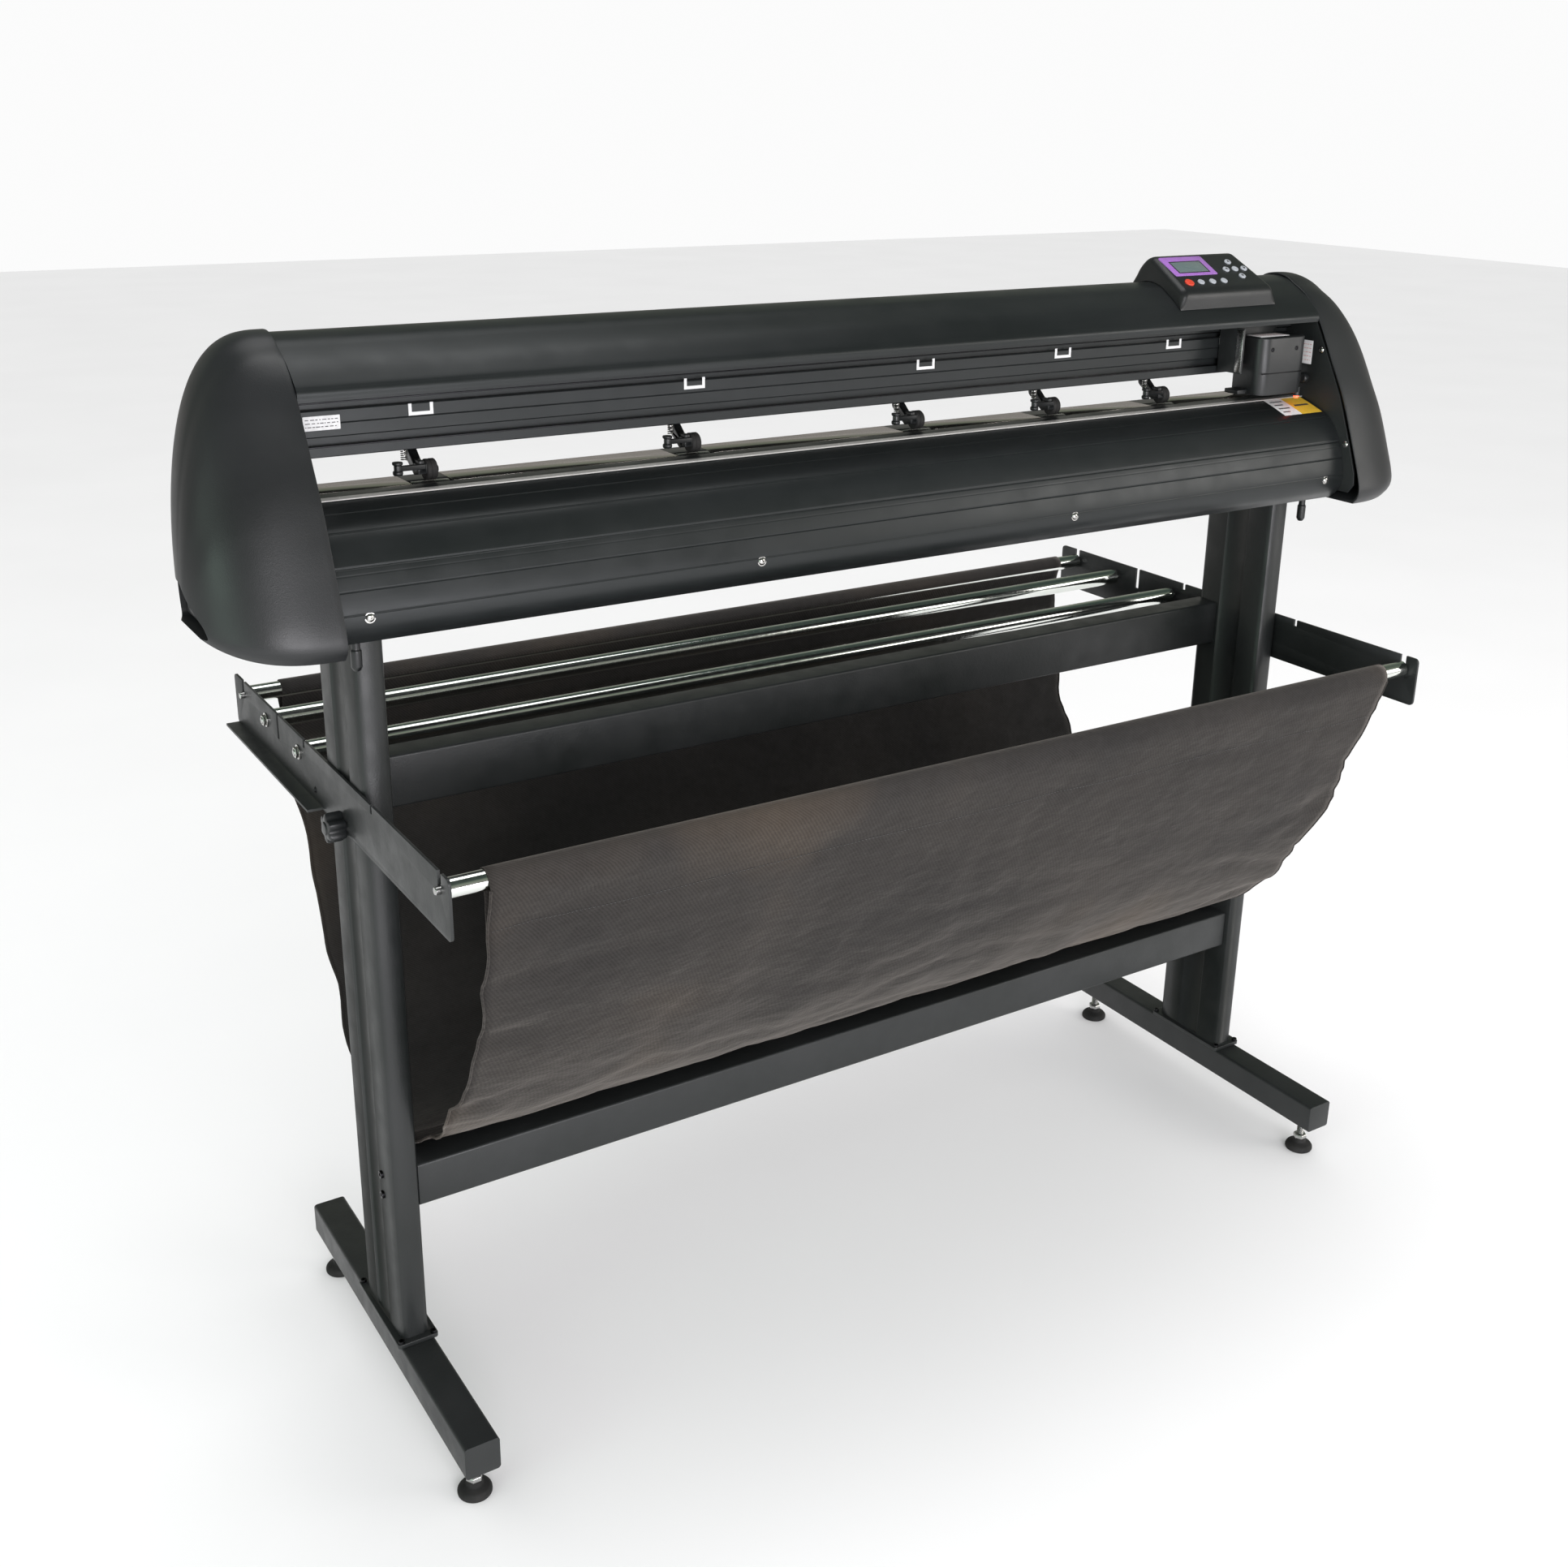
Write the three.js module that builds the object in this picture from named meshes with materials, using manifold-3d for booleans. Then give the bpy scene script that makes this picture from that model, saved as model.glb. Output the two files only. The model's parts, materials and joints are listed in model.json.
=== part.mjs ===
// Roll-fed vinyl cutter on a floor stand, with media rollers and a fabric catch bag.
// Millimetres, +Z up, +X along the head to the operator's right, -Y towards the operator.
// Every size below is measured with y = 0 in the middle of the two columns. The group that is
// exported shifts the machine along Y, so its origin is the middle of its footprint on the floor.
import * as THREE from 'three';
import { mergeVertices } from 'three/addons/utils/BufferGeometryUtils.js';
import Module from 'manifold-3d';

const wasm = await Module();
wasm.setup();

// ---------------------------------------------------------------- driving dimensions
const GAP = 0.3; // between pieces that touch
const CLEAR = 0.6; // between neighbours that need no contact
const SIDES = [['left', -1], ['right', 1]];

// stand
const COLUMN_X = 639.8; // centre of each column
const COLUMN_HALF_X = 16.4;
const COLUMN_HALF_Y = 60.2;
const COLUMN_TOP = 935.5;
const COLUMN_WALL = 6;
const COLUMN_GROOVE = { halfWidth: 20, depth: 3, bevel: 3 };
const BASE_PLATE = { halfX: 24, halfY: 68, thickness: 5.7 };
const FOOT = { side: 40, halfLength: 251.4, bottom: 46, wall: 2.5, corner: 4 };
const FOOT_TOP = FOOT.bottom + FOOT.side;
const LEVELLER_Y = [-222, 222];
const LEVELLER_STEM_R = 5;
const LOWER_BAR = { y0: -53, y1: -8, z0: 256, z1: 309, wall: 3 };
const UPPER_BAR = { y0: 24, y1: 60, z0: 705, z1: 765, wall: 3 };
const BAR_HALF_LENGTH = COLUMN_X - COLUMN_HALF_X - GAP;

// media bracket: an upright steel plate outside each column
const BRACKET_X = 657; // inner face
const BRACKET = { thickness: 3, y0: -298, y1: 396, z0: 700, z1: 763, corner: 6 };
const BRACKET_FLANGE = { y0: 70, out: 20 };
const KNOB = { z: 708, r: 17, notchR: 5, lobes: 6, x0: 661, x1: 682, stemR: 3, stemEnd: 654.2 };
const FRONT_ROD_Y = -275;
const REAR_ROD_Y = 360;
const ROD_Z = 745;
const ROD_R = 10.5;
const ROLLER_Y = { front: 146, rear: 268 };
const ROLLER_Z = 742;
const ROLLER_R = 11.5;
const TUBE = { wall: 1.5, boreR: 2 };
const STUB_R = 4;
const STUB_CLEAR = 0.4;
const NOTCHES = [{ y: 222, width: 7, depth: 30 }, { y: 124, width: 6, depth: 9 }, { y: -92, width: 5, depth: 9 }];

// catch bag section, from the front rod down and up to the rear rod: outer face
const BAG_HALF_LENGTH = 612;
const BAG_THICKNESS = 5;
const BAG_SECTION = [
  [-291.5, 745], [-290.5, 733], [-243, 623], [-158, 462], [-88, 385], [-10, 335], [60, 283],
  [130, 272], [200, 289], [300, 408], [355, 617], [375.6, 733], [376.5, 745],
];

// head
const HEAD_HALF = 687.4; // half length of everything between the side plates
const SKIN = 2.5; // wall of the sheet and extruded covers
const PLATEN = { y0: -28, y1: 49, top: 1060, plate: 3, web: 3 };
const PAN = { y0: -90, y1: 72, z0: 936, thickness: 3, lip: 24 };
const APRON_FRONT = [[-29.5, 1059.8], [-57, 1051], [-84, 1039], [-103, 1015], [-113, 988], [-117, 965], [-113, 948], [-101, 935]];
const APRON_REAR = [[51.4, 1059.6], [62, 1047], [71, 1026], [78, 1000], [82, 970], [82, 950], [77, 936]];
const COVER = [
  [-47, 1161], [-46.5, 1169], [-37, 1179], [-21, 1192], [0, 1204], [15.6, 1211.5], [36, 1215], [57, 1211], [71, 1200],
  [80, 1178], [84, 1150], [84, 1122],
];
const BEAM = { y1: 45, z0: 1096, z1: 1160, groove: 7 };
const BEAM_GROOVES = [[1107, 1115.5], [1142.5, 1149]];

// end caps: one side profile, closed towards the outside by shrinking it about its centre
const CAP_PROFILE = [
  [-138, 932], [-147, 944], [-145, 962], [-131, 1000], [-104, 1066], [-79, 1111], [-47, 1165], [-21, 1193],
  [3, 1207], [18, 1215], [37, 1218], [57, 1214], [72, 1202], [83, 1180], [88, 1148], [89.5, 1100], [89, 1040],
  [85, 975], [78, 932],
];
const CAP_CENTRE = [-60, 969];
const CAP_X0 = 687.7;
const CAP_X1 = 815;
const CAP_WALL = 3;
const CAP_BEND = { x0: 694, along: 2.64, across: 1.62 }; // where the rounding starts, and its two powers
const CAP_STATIONS = [0, 0.22, 0.42, 0.58, 0.71, 0.82, 0.9, 0.955, 0.99];
const SIDE_PLATE = { x0: 688, x1: 691, inset: 6 };
const PORT_BAY = { x0: -782, wall: 2.5 };
const BAY_OUTLINE = [[-98, 957], [2, 957], [2, 1003], [-50, 1003], [-92, 968]];

// media feed
const STATIONS_X = [-540, -233, 73, 284, 470]; // grit sleeve and pinch wheel pairs
const DRIVE = { y: 12, z: 1050.5, r: 5.5, sleeveR: 10, sleeveHalf: 20, x0: -686, x1: 704 };
const SLEEVE_SLOT = { halfX: 22.5, halfY: 10.5 };
const WHEEL = { r: 11, half: 6, bore: 2.7 };
const WHEEL_Z = DRIVE.z + DRIVE.sleeveR + GAP + WHEEL.r;
const AXLE_R = 2.4;
const PIVOT = { y: 34, z: 1088, pinR: 2.5, hole: 2.9 };

// carriage and belt
const CARRIAGE = { x0: 553, x1: 655, y0: -5, y1: -2, z0: 1100, z1: 1158 };
const TOOL = { x: 622, y: -20, r: 5, clear: 0.5, tip: 1067 };
const HOOD = { x0: 572, x1: 657, y0: -62, y1: -13, z0: 1072, z1: 1146, corner: 16 };
const BELT = { y0: 10, y1: 16, z: 1174, r: 10, thickness: 1.5, halfSpan: 655 };

// control pod, on the cover near its right end
const POD = { x0: 450, x1: 619, taper: 12, y0: -31, y1: 68 };
const PANEL = { y: -26, z: 1210.5, slope: THREE.MathUtils.degToRad(28.6), length: 75 };
const DISPLAY = { x0: 467, x1: 541, u0: 29, u1: 70, depth: 2, proud: 0.8 };
const BUTTON = { sunk: 2.4, proud: 1.8, clear: 0.4, floor: 4 };
const MENU_ROW = { x: 478, pitch: 20.3, u: 14, stopR: 6.5, menuR: 4.8 };
const ARROWS = { x: 578.5, u: 38, pitch: 16, r: 4.8 };

// ---------------------------------------------------------------- materials
const paint = (color, roughness, metalness) => new THREE.MeshStandardMaterial({ color, roughness, metalness });
const BLACK_POWDER = paint(0x1b1e1e, 0.55, 0.2);
const BLACK_EXTRUSION = paint(0x24282a, 0.4, 0.5);
const BLACK_PLASTIC = paint(0x1c1e20, 0.5, 0.0);
const CHROME = paint(0xd4d8d2, 0.12, 1.0);
const STEEL = paint(0xa8a8a8, 0.35, 1.0);
const CLOTH = paint(0x39342f, 0.95, 0.0);
const RUBBER = paint(0x141414, 0.9, 0.0);
const SCREEN = paint(0x8a5aa6, 0.3, 0.0);
const RED = paint(0xc8301c, 0.4, 0.0);
const GREY_KEY = paint(0xb9bcc0, 0.5, 0.0);

// ---------------------------------------------------------------- shapes and solids
function signedVolume(position, index) {
  const a = new THREE.Vector3();
  const b = new THREE.Vector3();
  const c = new THREE.Vector3();
  let total = 0;
  for (let i = 0; i < index.length; i += 3) {
    a.fromBufferAttribute(position, index[i]);
    b.fromBufferAttribute(position, index[i + 1]);
    c.fromBufferAttribute(position, index[i + 2]);
    total += a.dot(b.cross(c));
  }
  return total;
}

// A closed geometry as a manifold solid, with its faces turned outwards.
function solid(geometry) {
  geometry.deleteAttribute('normal');
  geometry.deleteAttribute('uv');
  const merged = mergeVertices(geometry, 1e-3);
  const index = [];
  const source = merged.index.array;
  for (let i = 0; i < source.length; i += 3) {
    const [a, b, c] = [source[i], source[i + 1], source[i + 2]];
    if (a !== b && b !== c && c !== a) {
      index.push(a, b, c);
    }
  }
  if (signedVolume(merged.attributes.position, index) < 0) {
    index.reverse();
  }
  const vertProperties = Float32Array.from(merged.attributes.position.array);
  return new wasm.Manifold(new wasm.Mesh({ numProp: 3, vertProperties, triVerts: Uint32Array.from(index) }));
}

const join = (first, ...rest) => rest.reduce((total, piece) => total.add(piece), first);
const cut = (first, ...rest) => rest.reduce((total, piece) => total.subtract(piece), first);

function shapeOf(points) {
  return new THREE.Shape(points.map(([u, v]) => new THREE.Vector2(u, v)));
}

function roundedRect(u0, u1, v0, v1, r) {
  const shape = new THREE.Shape();
  shape.absarc(u1 - r, v1 - r, r, 0, Math.PI / 2);
  shape.absarc(u0 + r, v1 - r, r, Math.PI / 2, Math.PI);
  shape.absarc(u0 + r, v0 + r, r, Math.PI, 1.5 * Math.PI);
  shape.absarc(u1 - r, v0 + r, r, 1.5 * Math.PI, 2 * Math.PI);
  return shape;
}

// Two round ends of radius ra and rb, joined by straight sides.
function capsule([au, av], [bu, bv], ra, rb) {
  const turn = Math.atan2(bv - av, bu - au);
  const shape = new THREE.Shape();
  shape.absarc(au, av, ra, turn + Math.PI / 2, turn + 1.5 * Math.PI);
  shape.absarc(bu, bv, rb, turn - Math.PI / 2, turn + Math.PI / 2);
  return shape;
}

// A band that follows a line of points and lies on its right-hand side.
function ribbon(points, thickness) {
  const line = points.map(([u, v]) => new THREE.Vector2(u, v));
  const inner = line.map((point, i) => {
    const before = line[Math.max(i - 1, 0)];
    const after = line[Math.min(i + 1, line.length - 1)];
    const along = after.clone().sub(before).normalize();
    return point.clone().add(new THREE.Vector2(along.y, -along.x).multiplyScalar(thickness));
  });
  return new THREE.Shape([...line, ...inner.reverse()]);
}

const smooth = (points, steps) =>
  new THREE.SplineCurve(points.map(([u, v]) => new THREE.Vector2(u, v))).getPoints(steps).map((p) => [p.x, p.y]);

const AXES = {
  x: new THREE.Matrix4().makeBasis(new THREE.Vector3(0, 1, 0), new THREE.Vector3(0, 0, 1), new THREE.Vector3(1, 0, 0)),
  y: new THREE.Matrix4().makeBasis(new THREE.Vector3(0, 0, 1), new THREE.Vector3(1, 0, 0), new THREE.Vector3(0, 1, 0)),
  z: new THREE.Matrix4(),
};

// A shape drawn across an axis, extruded along it: (y, z) for x, (z, x) for y, (x, y) for z.
function extrude(axis, shape, from, to, curveSegments = 4) {
  const geometry = new THREE.ExtrudeGeometry(shape, { depth: to - from, bevelEnabled: false, curveSegments });
  geometry.translate(0, 0, from);
  geometry.applyMatrix4(AXES[axis]);
  return solid(geometry);
}

function box(x0, x1, y0, y1, z0, z1) {
  const geometry = new THREE.BoxGeometry(x1 - x0, y1 - y0, z1 - z0);
  geometry.translate((x0 + x1) / 2, (y0 + y1) / 2, (z0 + z1) / 2);
  return solid(geometry);
}

// A turned piece: profile of [radius, position along the axis], centred on (u, v) across it.
function turned(axis, profile, [u, v], segments = 16) {
  const geometry = new THREE.LatheGeometry(profile.map(([r, along]) => new THREE.Vector2(r, along)), segments);
  geometry.rotateX(Math.PI / 2);
  geometry.translate(u, v, 0);
  geometry.applyMatrix4(AXES[axis]);
  return solid(geometry);
}

const rod = (axis, r, from, to, centre, segments = 16) =>
  turned(axis, [[0, from], [r, from], [r, to], [0, to]], centre, segments);

const machine = new THREE.Group();

function add(name, body, material) {
  const { vertProperties, triVerts } = body.getMesh();
  const geometry = new THREE.BufferGeometry();
  geometry.setAttribute('position', new THREE.BufferAttribute(vertProperties, 3));
  geometry.setIndex(new THREE.BufferAttribute(triVerts, 1));
  geometry.computeVertexNormals();
  const mesh = new THREE.Mesh(geometry, material);
  mesh.name = name;
  machine.add(mesh);
}

const between = (side, near, far) => (side < 0 ? [-far, -near] : [near, far]);

// ---------------------------------------------------------------- stand
function columnShape() {
  const { halfWidth, depth, bevel } = COLUMN_GROOVE;
  const corner = 8;
  const half = [
    [COLUMN_HALF_X, -halfWidth], [COLUMN_HALF_X - depth, -halfWidth + bevel],
    [COLUMN_HALF_X - depth, halfWidth - bevel], [COLUMN_HALF_X, halfWidth],
    [COLUMN_HALF_X, COLUMN_HALF_Y - corner], [COLUMN_HALF_X - corner / 3, COLUMN_HALF_Y - corner / 3],
    [COLUMN_HALF_X - corner, COLUMN_HALF_Y],
  ];
  const turnedHalf = half.map(([u, v]) => [-u, -v]);
  const front = [[COLUMN_HALF_X - corner, -COLUMN_HALF_Y], [COLUMN_HALF_X - corner / 3, -COLUMN_HALF_Y + corner / 3],
    [COLUMN_HALF_X, -COLUMN_HALF_Y + corner]];
  return shapeOf([...front, ...half, ...front.map(([u, v]) => [-u, -v]), ...turnedHalf]);
}

function addColumn(name, side) {
  const bottom = FOOT_TOP + GAP;
  const shaft = extrude('z', columnShape(), bottom + 2, COLUMN_TOP);
  const plate = extrude('z', roundedRect(-BASE_PLATE.halfX, BASE_PLATE.halfX, -BASE_PLATE.halfY, BASE_PLATE.halfY, 4),
    bottom, bottom + BASE_PLATE.thickness);
  const reachX = COLUMN_HALF_X - COLUMN_WALL;
  const reachY = COLUMN_HALF_Y - COLUMN_WALL;
  const hollow = box(-reachX, reachX, -reachY, reachY, bottom + BASE_PLATE.thickness, COLUMN_TOP + 1);
  add(name, cut(join(shaft, plate), hollow).translate([side * COLUMN_X, 0, 0]), BLACK_POWDER);
}

function addFoot(name, side) {
  const { side: width, halfLength, bottom, wall, corner } = FOOT;
  const half = width / 2;
  const outer = extrude('y', roundedRect(bottom, bottom + width, -half, half, corner), -halfLength, halfLength);
  const inner = box(-half + wall, half - wall, -halfLength + wall, halfLength - wall, bottom + wall, bottom + width - wall);
  const stemHoles = LEVELLER_Y.map((y) => rod('z', LEVELLER_STEM_R + CLEAR, bottom - 1, bottom + wall + 1, [0, y]));
  add(name, cut(outer, inner, ...stemHoles).translate([side * COLUMN_X, 0, 0]), BLACK_POWDER);
}

function addLeveller(name, x, y) {
  const profile = [
    [0, 0], [18.5, 0], [19, 3], [17, 8], [10, 13], [8.5, 17], [8.5, 23], [LEVELLER_STEM_R, 23], [LEVELLER_STEM_R, 68],
    [0, 68],
  ];
  add(name, turned('z', profile, [x, y], 16), RUBBER);
}

function addBar(name, { y0, y1, z0, z1, wall }) {
  const outer = extrude('x', roundedRect(y0, y1, z0, z1, 3), -BAR_HALF_LENGTH, BAR_HALF_LENGTH, 2);
  const past = BAR_HALF_LENGTH + 1;
  add(name, cut(outer, box(-past, past, y0 + wall, y1 - wall, z0 + wall, z1 - wall)), BLACK_POWDER);
}

function addStand() {
  for (const [side, sign] of SIDES) {
    addFoot(`${side}_foot_beam`, sign);
    addColumn(`${side}_column`, sign);
    addLeveller(`${side}_front_leveling_foot`, sign * COLUMN_X, LEVELLER_Y[0]);
    addLeveller(`${side}_rear_leveling_foot`, sign * COLUMN_X, LEVELLER_Y[1]);
  }
  addBar('lower_crossbar', LOWER_BAR);
  addBar('upper_crossbar', UPPER_BAR);
}

// ---------------------------------------------------------------- media brackets, rods and bag
function addBracket(name, sign) {
  const { thickness, y0, y1, z0, z1, corner } = BRACKET;
  const [xa, xb] = between(sign, BRACKET_X, BRACKET_X + thickness);
  const plate = extrude('x', roundedRect(y0, y1, z0, z1, corner), xa, xb, 3);
  const [fa, fb] = between(sign, BRACKET_X, BRACKET_X + BRACKET_FLANGE.out);
  const flange = box(fa, fb, BRACKET_FLANGE.y0, y1 - 8, z0, z0 + thickness);
  const stub = STUB_R + STUB_CLEAR;
  const rodSlots = [FRONT_ROD_Y, REAR_ROD_Y].map((y) =>
    extrude('x', capsule([y, ROD_Z], [y, z1 + 10], stub, stub), xa - 1, xb + 1));
  const axleHoles = Object.values(ROLLER_Y).map((y) => rod('x', stub, xa - 1, xb + 1, [y, ROLLER_Z]));
  const notches = NOTCHES.map(({ y, width, depth }) =>
    box(xa - 1, xb + 1, y - width / 2, y + width / 2, z1 - depth, z1 + 1));
  const knobHole = rod('x', KNOB.stemR + STUB_CLEAR, xa - 1, xb + 1, [0, KNOB.z]);
  add(name, cut(join(plate, flange), ...rodSlots, ...axleHoles, ...notches, knobHole), BLACK_POWDER);
}

function addKnob(name, sign) {
  const [xa, xb] = between(sign, KNOB.x0, KNOB.x1);
  const grip = rod('x', KNOB.r, xa, xb, [0, KNOB.z], 24);
  const flutes = Array.from({ length: KNOB.lobes }, (_, i) => {
    const turn = (2 * Math.PI * i) / KNOB.lobes;
    const centre = [KNOB.r * 1.06 * Math.cos(turn), KNOB.z + KNOB.r * 1.06 * Math.sin(turn)];
    return rod('x', KNOB.notchR, xa - 1, xb + 1, centre, 8);
  });
  const [sa, sb] = between(sign, KNOB.stemEnd, KNOB.x0 + 1);
  add(name, join(cut(grip, ...flutes), rod('x', KNOB.stemR, sa, sb, [0, KNOB.z], 12)), BLACK_PLASTIC);
}

// A chrome tube with a thin stub at each end, and on the rollers a round head past each bracket.
function addTube(name, r, centre, headR) {
  const bodyEnd = BRACKET_X - CLEAR;
  const bracketEnd = BRACKET_X + BRACKET.thickness;
  const bare = [[TUBE.boreR, bracketEnd + 5], [STUB_R, bracketEnd + 5]];
  const headed = [
    [TUBE.boreR, bracketEnd + 6], [headR, bracketEnd + 6], [headR, bracketEnd + 1], [STUB_R, bracketEnd + 1],
  ];
  const inner = [[r - TUBE.wall, bodyEnd - 3], [TUBE.boreR, bodyEnd - 3]];
  const right = [...inner, ...(headR ? headed : bare), [STUB_R, bodyEnd], [r, bodyEnd]];
  const left = right.map(([radius, along]) => [radius, -along]).reverse();
  add(name, turned('x', [...right, ...left, right[0]], centre, 14), CHROME);
}

function addMediaSupport() {
  for (const [side, sign] of SIDES) {
    addBracket(`${side}_media_bracket`, sign);
    addKnob(`${side}_bracket_knob`, sign);
  }
  addTube('front_bag_rod', ROD_R, [FRONT_ROD_Y, ROD_Z], 0);
  addTube('rear_bag_rod', ROD_R, [REAR_ROD_Y, ROD_Z], 0);
  addTube('front_media_roller', ROLLER_R, [ROLLER_Y.front, ROLLER_Z], 7);
  addTube('rear_media_roller', ROLLER_R, [ROLLER_Y.rear, ROLLER_Z], 7);
  const section = ribbon([...BAG_SECTION].reverse(), BAG_THICKNESS);
  add('catch_bag', extrude('x', section, -BAG_HALF_LENGTH, BAG_HALF_LENGTH), CLOTH);
}

// ---------------------------------------------------------------- head
function addPlaten() {
  const { y0, y1, top, plate, web } = PLATEN;
  const foot = PAN.z0 + PAN.thickness + GAP;
  const deck = box(-HEAD_HALF, HEAD_HALF, y0, y1, top - plate, top);
  const webs = [y0 + 2, y1 - 2 - web].map((y) => box(-HEAD_HALF, HEAD_HALF, y, y + web, foot, top - 1));
  const { halfX, halfY } = SLEEVE_SLOT;
  const slots = STATIONS_X.map((x) => box(x - halfX, x + halfX, DRIVE.y - halfY, DRIVE.y + halfY, top - 5, top + 1));
  add('platen', cut(join(deck, ...webs), ...slots), BLACK_EXTRUSION);
}

function addShells() {
  const { y0, y1, z0, thickness, lip } = PAN;
  const pan = shapeOf([
    [y0, z0], [y1, z0], [y1, z0 + lip], [y1 - thickness, z0 + lip], [y1 - thickness, z0 + thickness],
    [y0 + thickness, z0 + thickness], [y0 + thickness, z0 + lip], [y0, z0 + lip],
  ]);
  add('chassis_pan', extrude('x', pan, -HEAD_HALF, HEAD_HALF), BLACK_POWDER);
  const front = ribbon(smooth([...APRON_FRONT].reverse(), 18), SKIN);
  add('front_apron', extrude('x', front, -HEAD_HALF, HEAD_HALF), BLACK_EXTRUSION);
  const rear = ribbon(smooth(APRON_REAR, 14), SKIN);
  add('rear_apron', extrude('x', rear, -HEAD_HALF, HEAD_HALF), BLACK_EXTRUSION);
  add('top_cover', extrude('x', ribbon(smooth(COVER, 20), SKIN), -HEAD_HALF, HEAD_HALF), BLACK_EXTRUSION);
}

function beamShape() {
  const { y1, z0, z1, groove } = BEAM;
  const front = BEAM_GROOVES.flatMap(([low, high]) => [[0, low], [groove, low], [groove, high], [0, high]]);
  const shape = shapeOf([[0, z0], ...front, [0, z1], [y1, z1], [y1, z0]]);
  shape.holes.push(shapeOf([[12, z0 + 6], [y1 - 5, z0 + 6], [y1 - 5, z1 - 5], [12, z1 - 5]]));
  return shape;
}

// The guide beam, with a hanging lug and pivot pin for each pinch arm and a post for the belt idler.
function addGuideBeam() {
  const lugs = STATIONS_X.map((x) => join(
    box(x - 30, x - 17, PIVOT.y - 7, PIVOT.y + 7, PIVOT.z - 8, BEAM.z0 + 1),
    rod('x', PIVOT.pinR, x - 18, x - 5, [PIVOT.y, PIVOT.z], 10)));
  const idlerPin = rod('y', 2, BELT.y0 - 3, BELT.y1 + 6, [BELT.z, -BELT.halfSpan], 10);
  const post = box(-BELT.halfSpan - 6, -BELT.halfSpan + 6, BELT.y1 + 4, BELT.y1 + 8, BEAM.z1 - 1, BELT.z + 5);
  const beam = extrude('x', beamShape(), -HEAD_HALF, HEAD_HALF);
  add('guide_beam', join(beam, ...lugs, post, idlerPin), BLACK_EXTRUSION);
}

// ---------------------------------------------------------------- end caps and side plates
function scaledProfile(scale) {
  const [cy, cz] = CAP_CENTRE;
  return CAP_PROFILE.map(([y, z]) => [cy + (y - cy) * scale, cz + (z - cz) * scale]);
}

// Draws a ring in towards its own middle by about the given distance.
function drawnIn(ring, distance) {
  const middle = [0, 1].map((k) => ring.reduce((sum, p) => sum + p[k], 0) / ring.length);
  const reach = Math.min(...ring.map((p) => Math.hypot(p[0] - middle[0], p[1] - middle[1])));
  return ring.map((p) => p.map((value, k) => middle[k] + (value - middle[k]) * (1 - distance / reach)));
}

// Rings of equal point count joined into a closed skin, with a fan at each end.
function loft(rings) {
  const count = rings[0].length;
  const points = rings.flat();
  const index = [];
  for (let ring = 0; ring + 1 < rings.length; ring += 1) {
    for (let i = 0; i < count; i += 1) {
      const [a, b] = [ring * count + i, ring * count + ((i + 1) % count)];
      index.push(a, b, a + count, b, b + count, a + count);
    }
  }
  for (const [start, flip] of [[0, true], [(rings.length - 1) * count, false]]) {
    const hub = points.length;
    const ring = points.slice(start, start + count);
    points.push([0, 1, 2].map((k) => ring.reduce((sum, p) => sum + p[k], 0) / count));
    for (let i = 0; i < count; i += 1) {
      const [a, b] = [start + i, start + ((i + 1) % count)];
      index.push(...(flip ? [hub, b, a] : [hub, a, b]));
    }
  }
  const geometry = new THREE.BufferGeometry();
  geometry.setAttribute('position', new THREE.BufferAttribute(Float32Array.from(points.flat()), 3));
  geometry.setIndex(index);
  return solid(geometry);
}

function capBody(sign, wall, stretch) {
  const { x0, along, across } = CAP_BEND;
  const bend = CAP_STATIONS.map((t) => [x0 + (CAP_X1 - x0) * t, (1 - t ** along) ** (1 / across)]);
  const stations = [[CAP_X0, 1], ...bend].filter(([, scale]) => wall === 0 || scale > 0.3);
  const rings = stations.map(([x, scale], i) => {
    const atX = i === 0 ? x - stretch : x - wall;
    return drawnIn(scaledProfile(scale), wall).map(([y, z]) => [sign * atX, y, z]);
  });
  return loft(rings);
}

function addEndCap(name, sign) {
  const outer = capBody(sign, 0, 0);
  const shell = cut(outer, capBody(sign, CAP_WALL, 1));
  if (sign > 0) {
    add(name, shell, BLACK_PLASTIC);
    return;
  }
  const { x0, wall } = PORT_BAY;
  const [ys, zs] = [0, 1].map((k) => BAY_OUTLINE.map((p) => p[k]));
  const liner = box(-830, x0 + wall, Math.min(...ys) - wall, Math.max(...ys) + wall, Math.min(...zs) - wall, Math.max(...zs) + wall);
  const bay = extrude('x', shapeOf(BAY_OUTLINE), -830, x0);
  add(name, cut(join(shell, liner.intersect(outer)), bay), BLACK_PLASTIC);
}

function addSidePlate(name, sign) {
  const [xa, xb] = between(sign, SIDE_PLATE.x0, SIDE_PLATE.x1);
  const plate = extrude('x', shapeOf(drawnIn(CAP_PROFILE, SIDE_PLATE.inset)), xa, xb);
  const shaftHole = rod('x', DRIVE.r + 2, xa - 1, xb + 1, [DRIVE.y, DRIVE.z]);
  add(name, sign > 0 ? cut(plate, shaftHole) : plate, BLACK_POWDER);
}

function addEnds() {
  for (const [side, sign] of SIDES) {
    addSidePlate(`${side}_side_plate`, sign);
    addEndCap(`${side}_end_cap`, sign);
  }
  const { x0 } = PORT_BAY;
  const inlet = box(x0 - 14, x0 - GAP, -46, -2, 961, 995);
  const socket = extrude('x', roundedRect(-41, -7, 967, 989, 4), x0 - 15, x0 - 4, 2);
  const pins = [-32, -24, -16].map((y) => box(x0 - 12, x0 - 3, y - 1, y + 1, 975, 982));
  add('power_inlet', join(cut(inlet, socket), ...pins), BLACK_PLASTIC);
  const rocker = box(-3.5, 3.5, -7, 7, -10, 10).rotate([0, -7, 0]).translate([x0 - 8, -60, 972]);
  add('power_switch', rocker, BLACK_PLASTIC);
}

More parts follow.
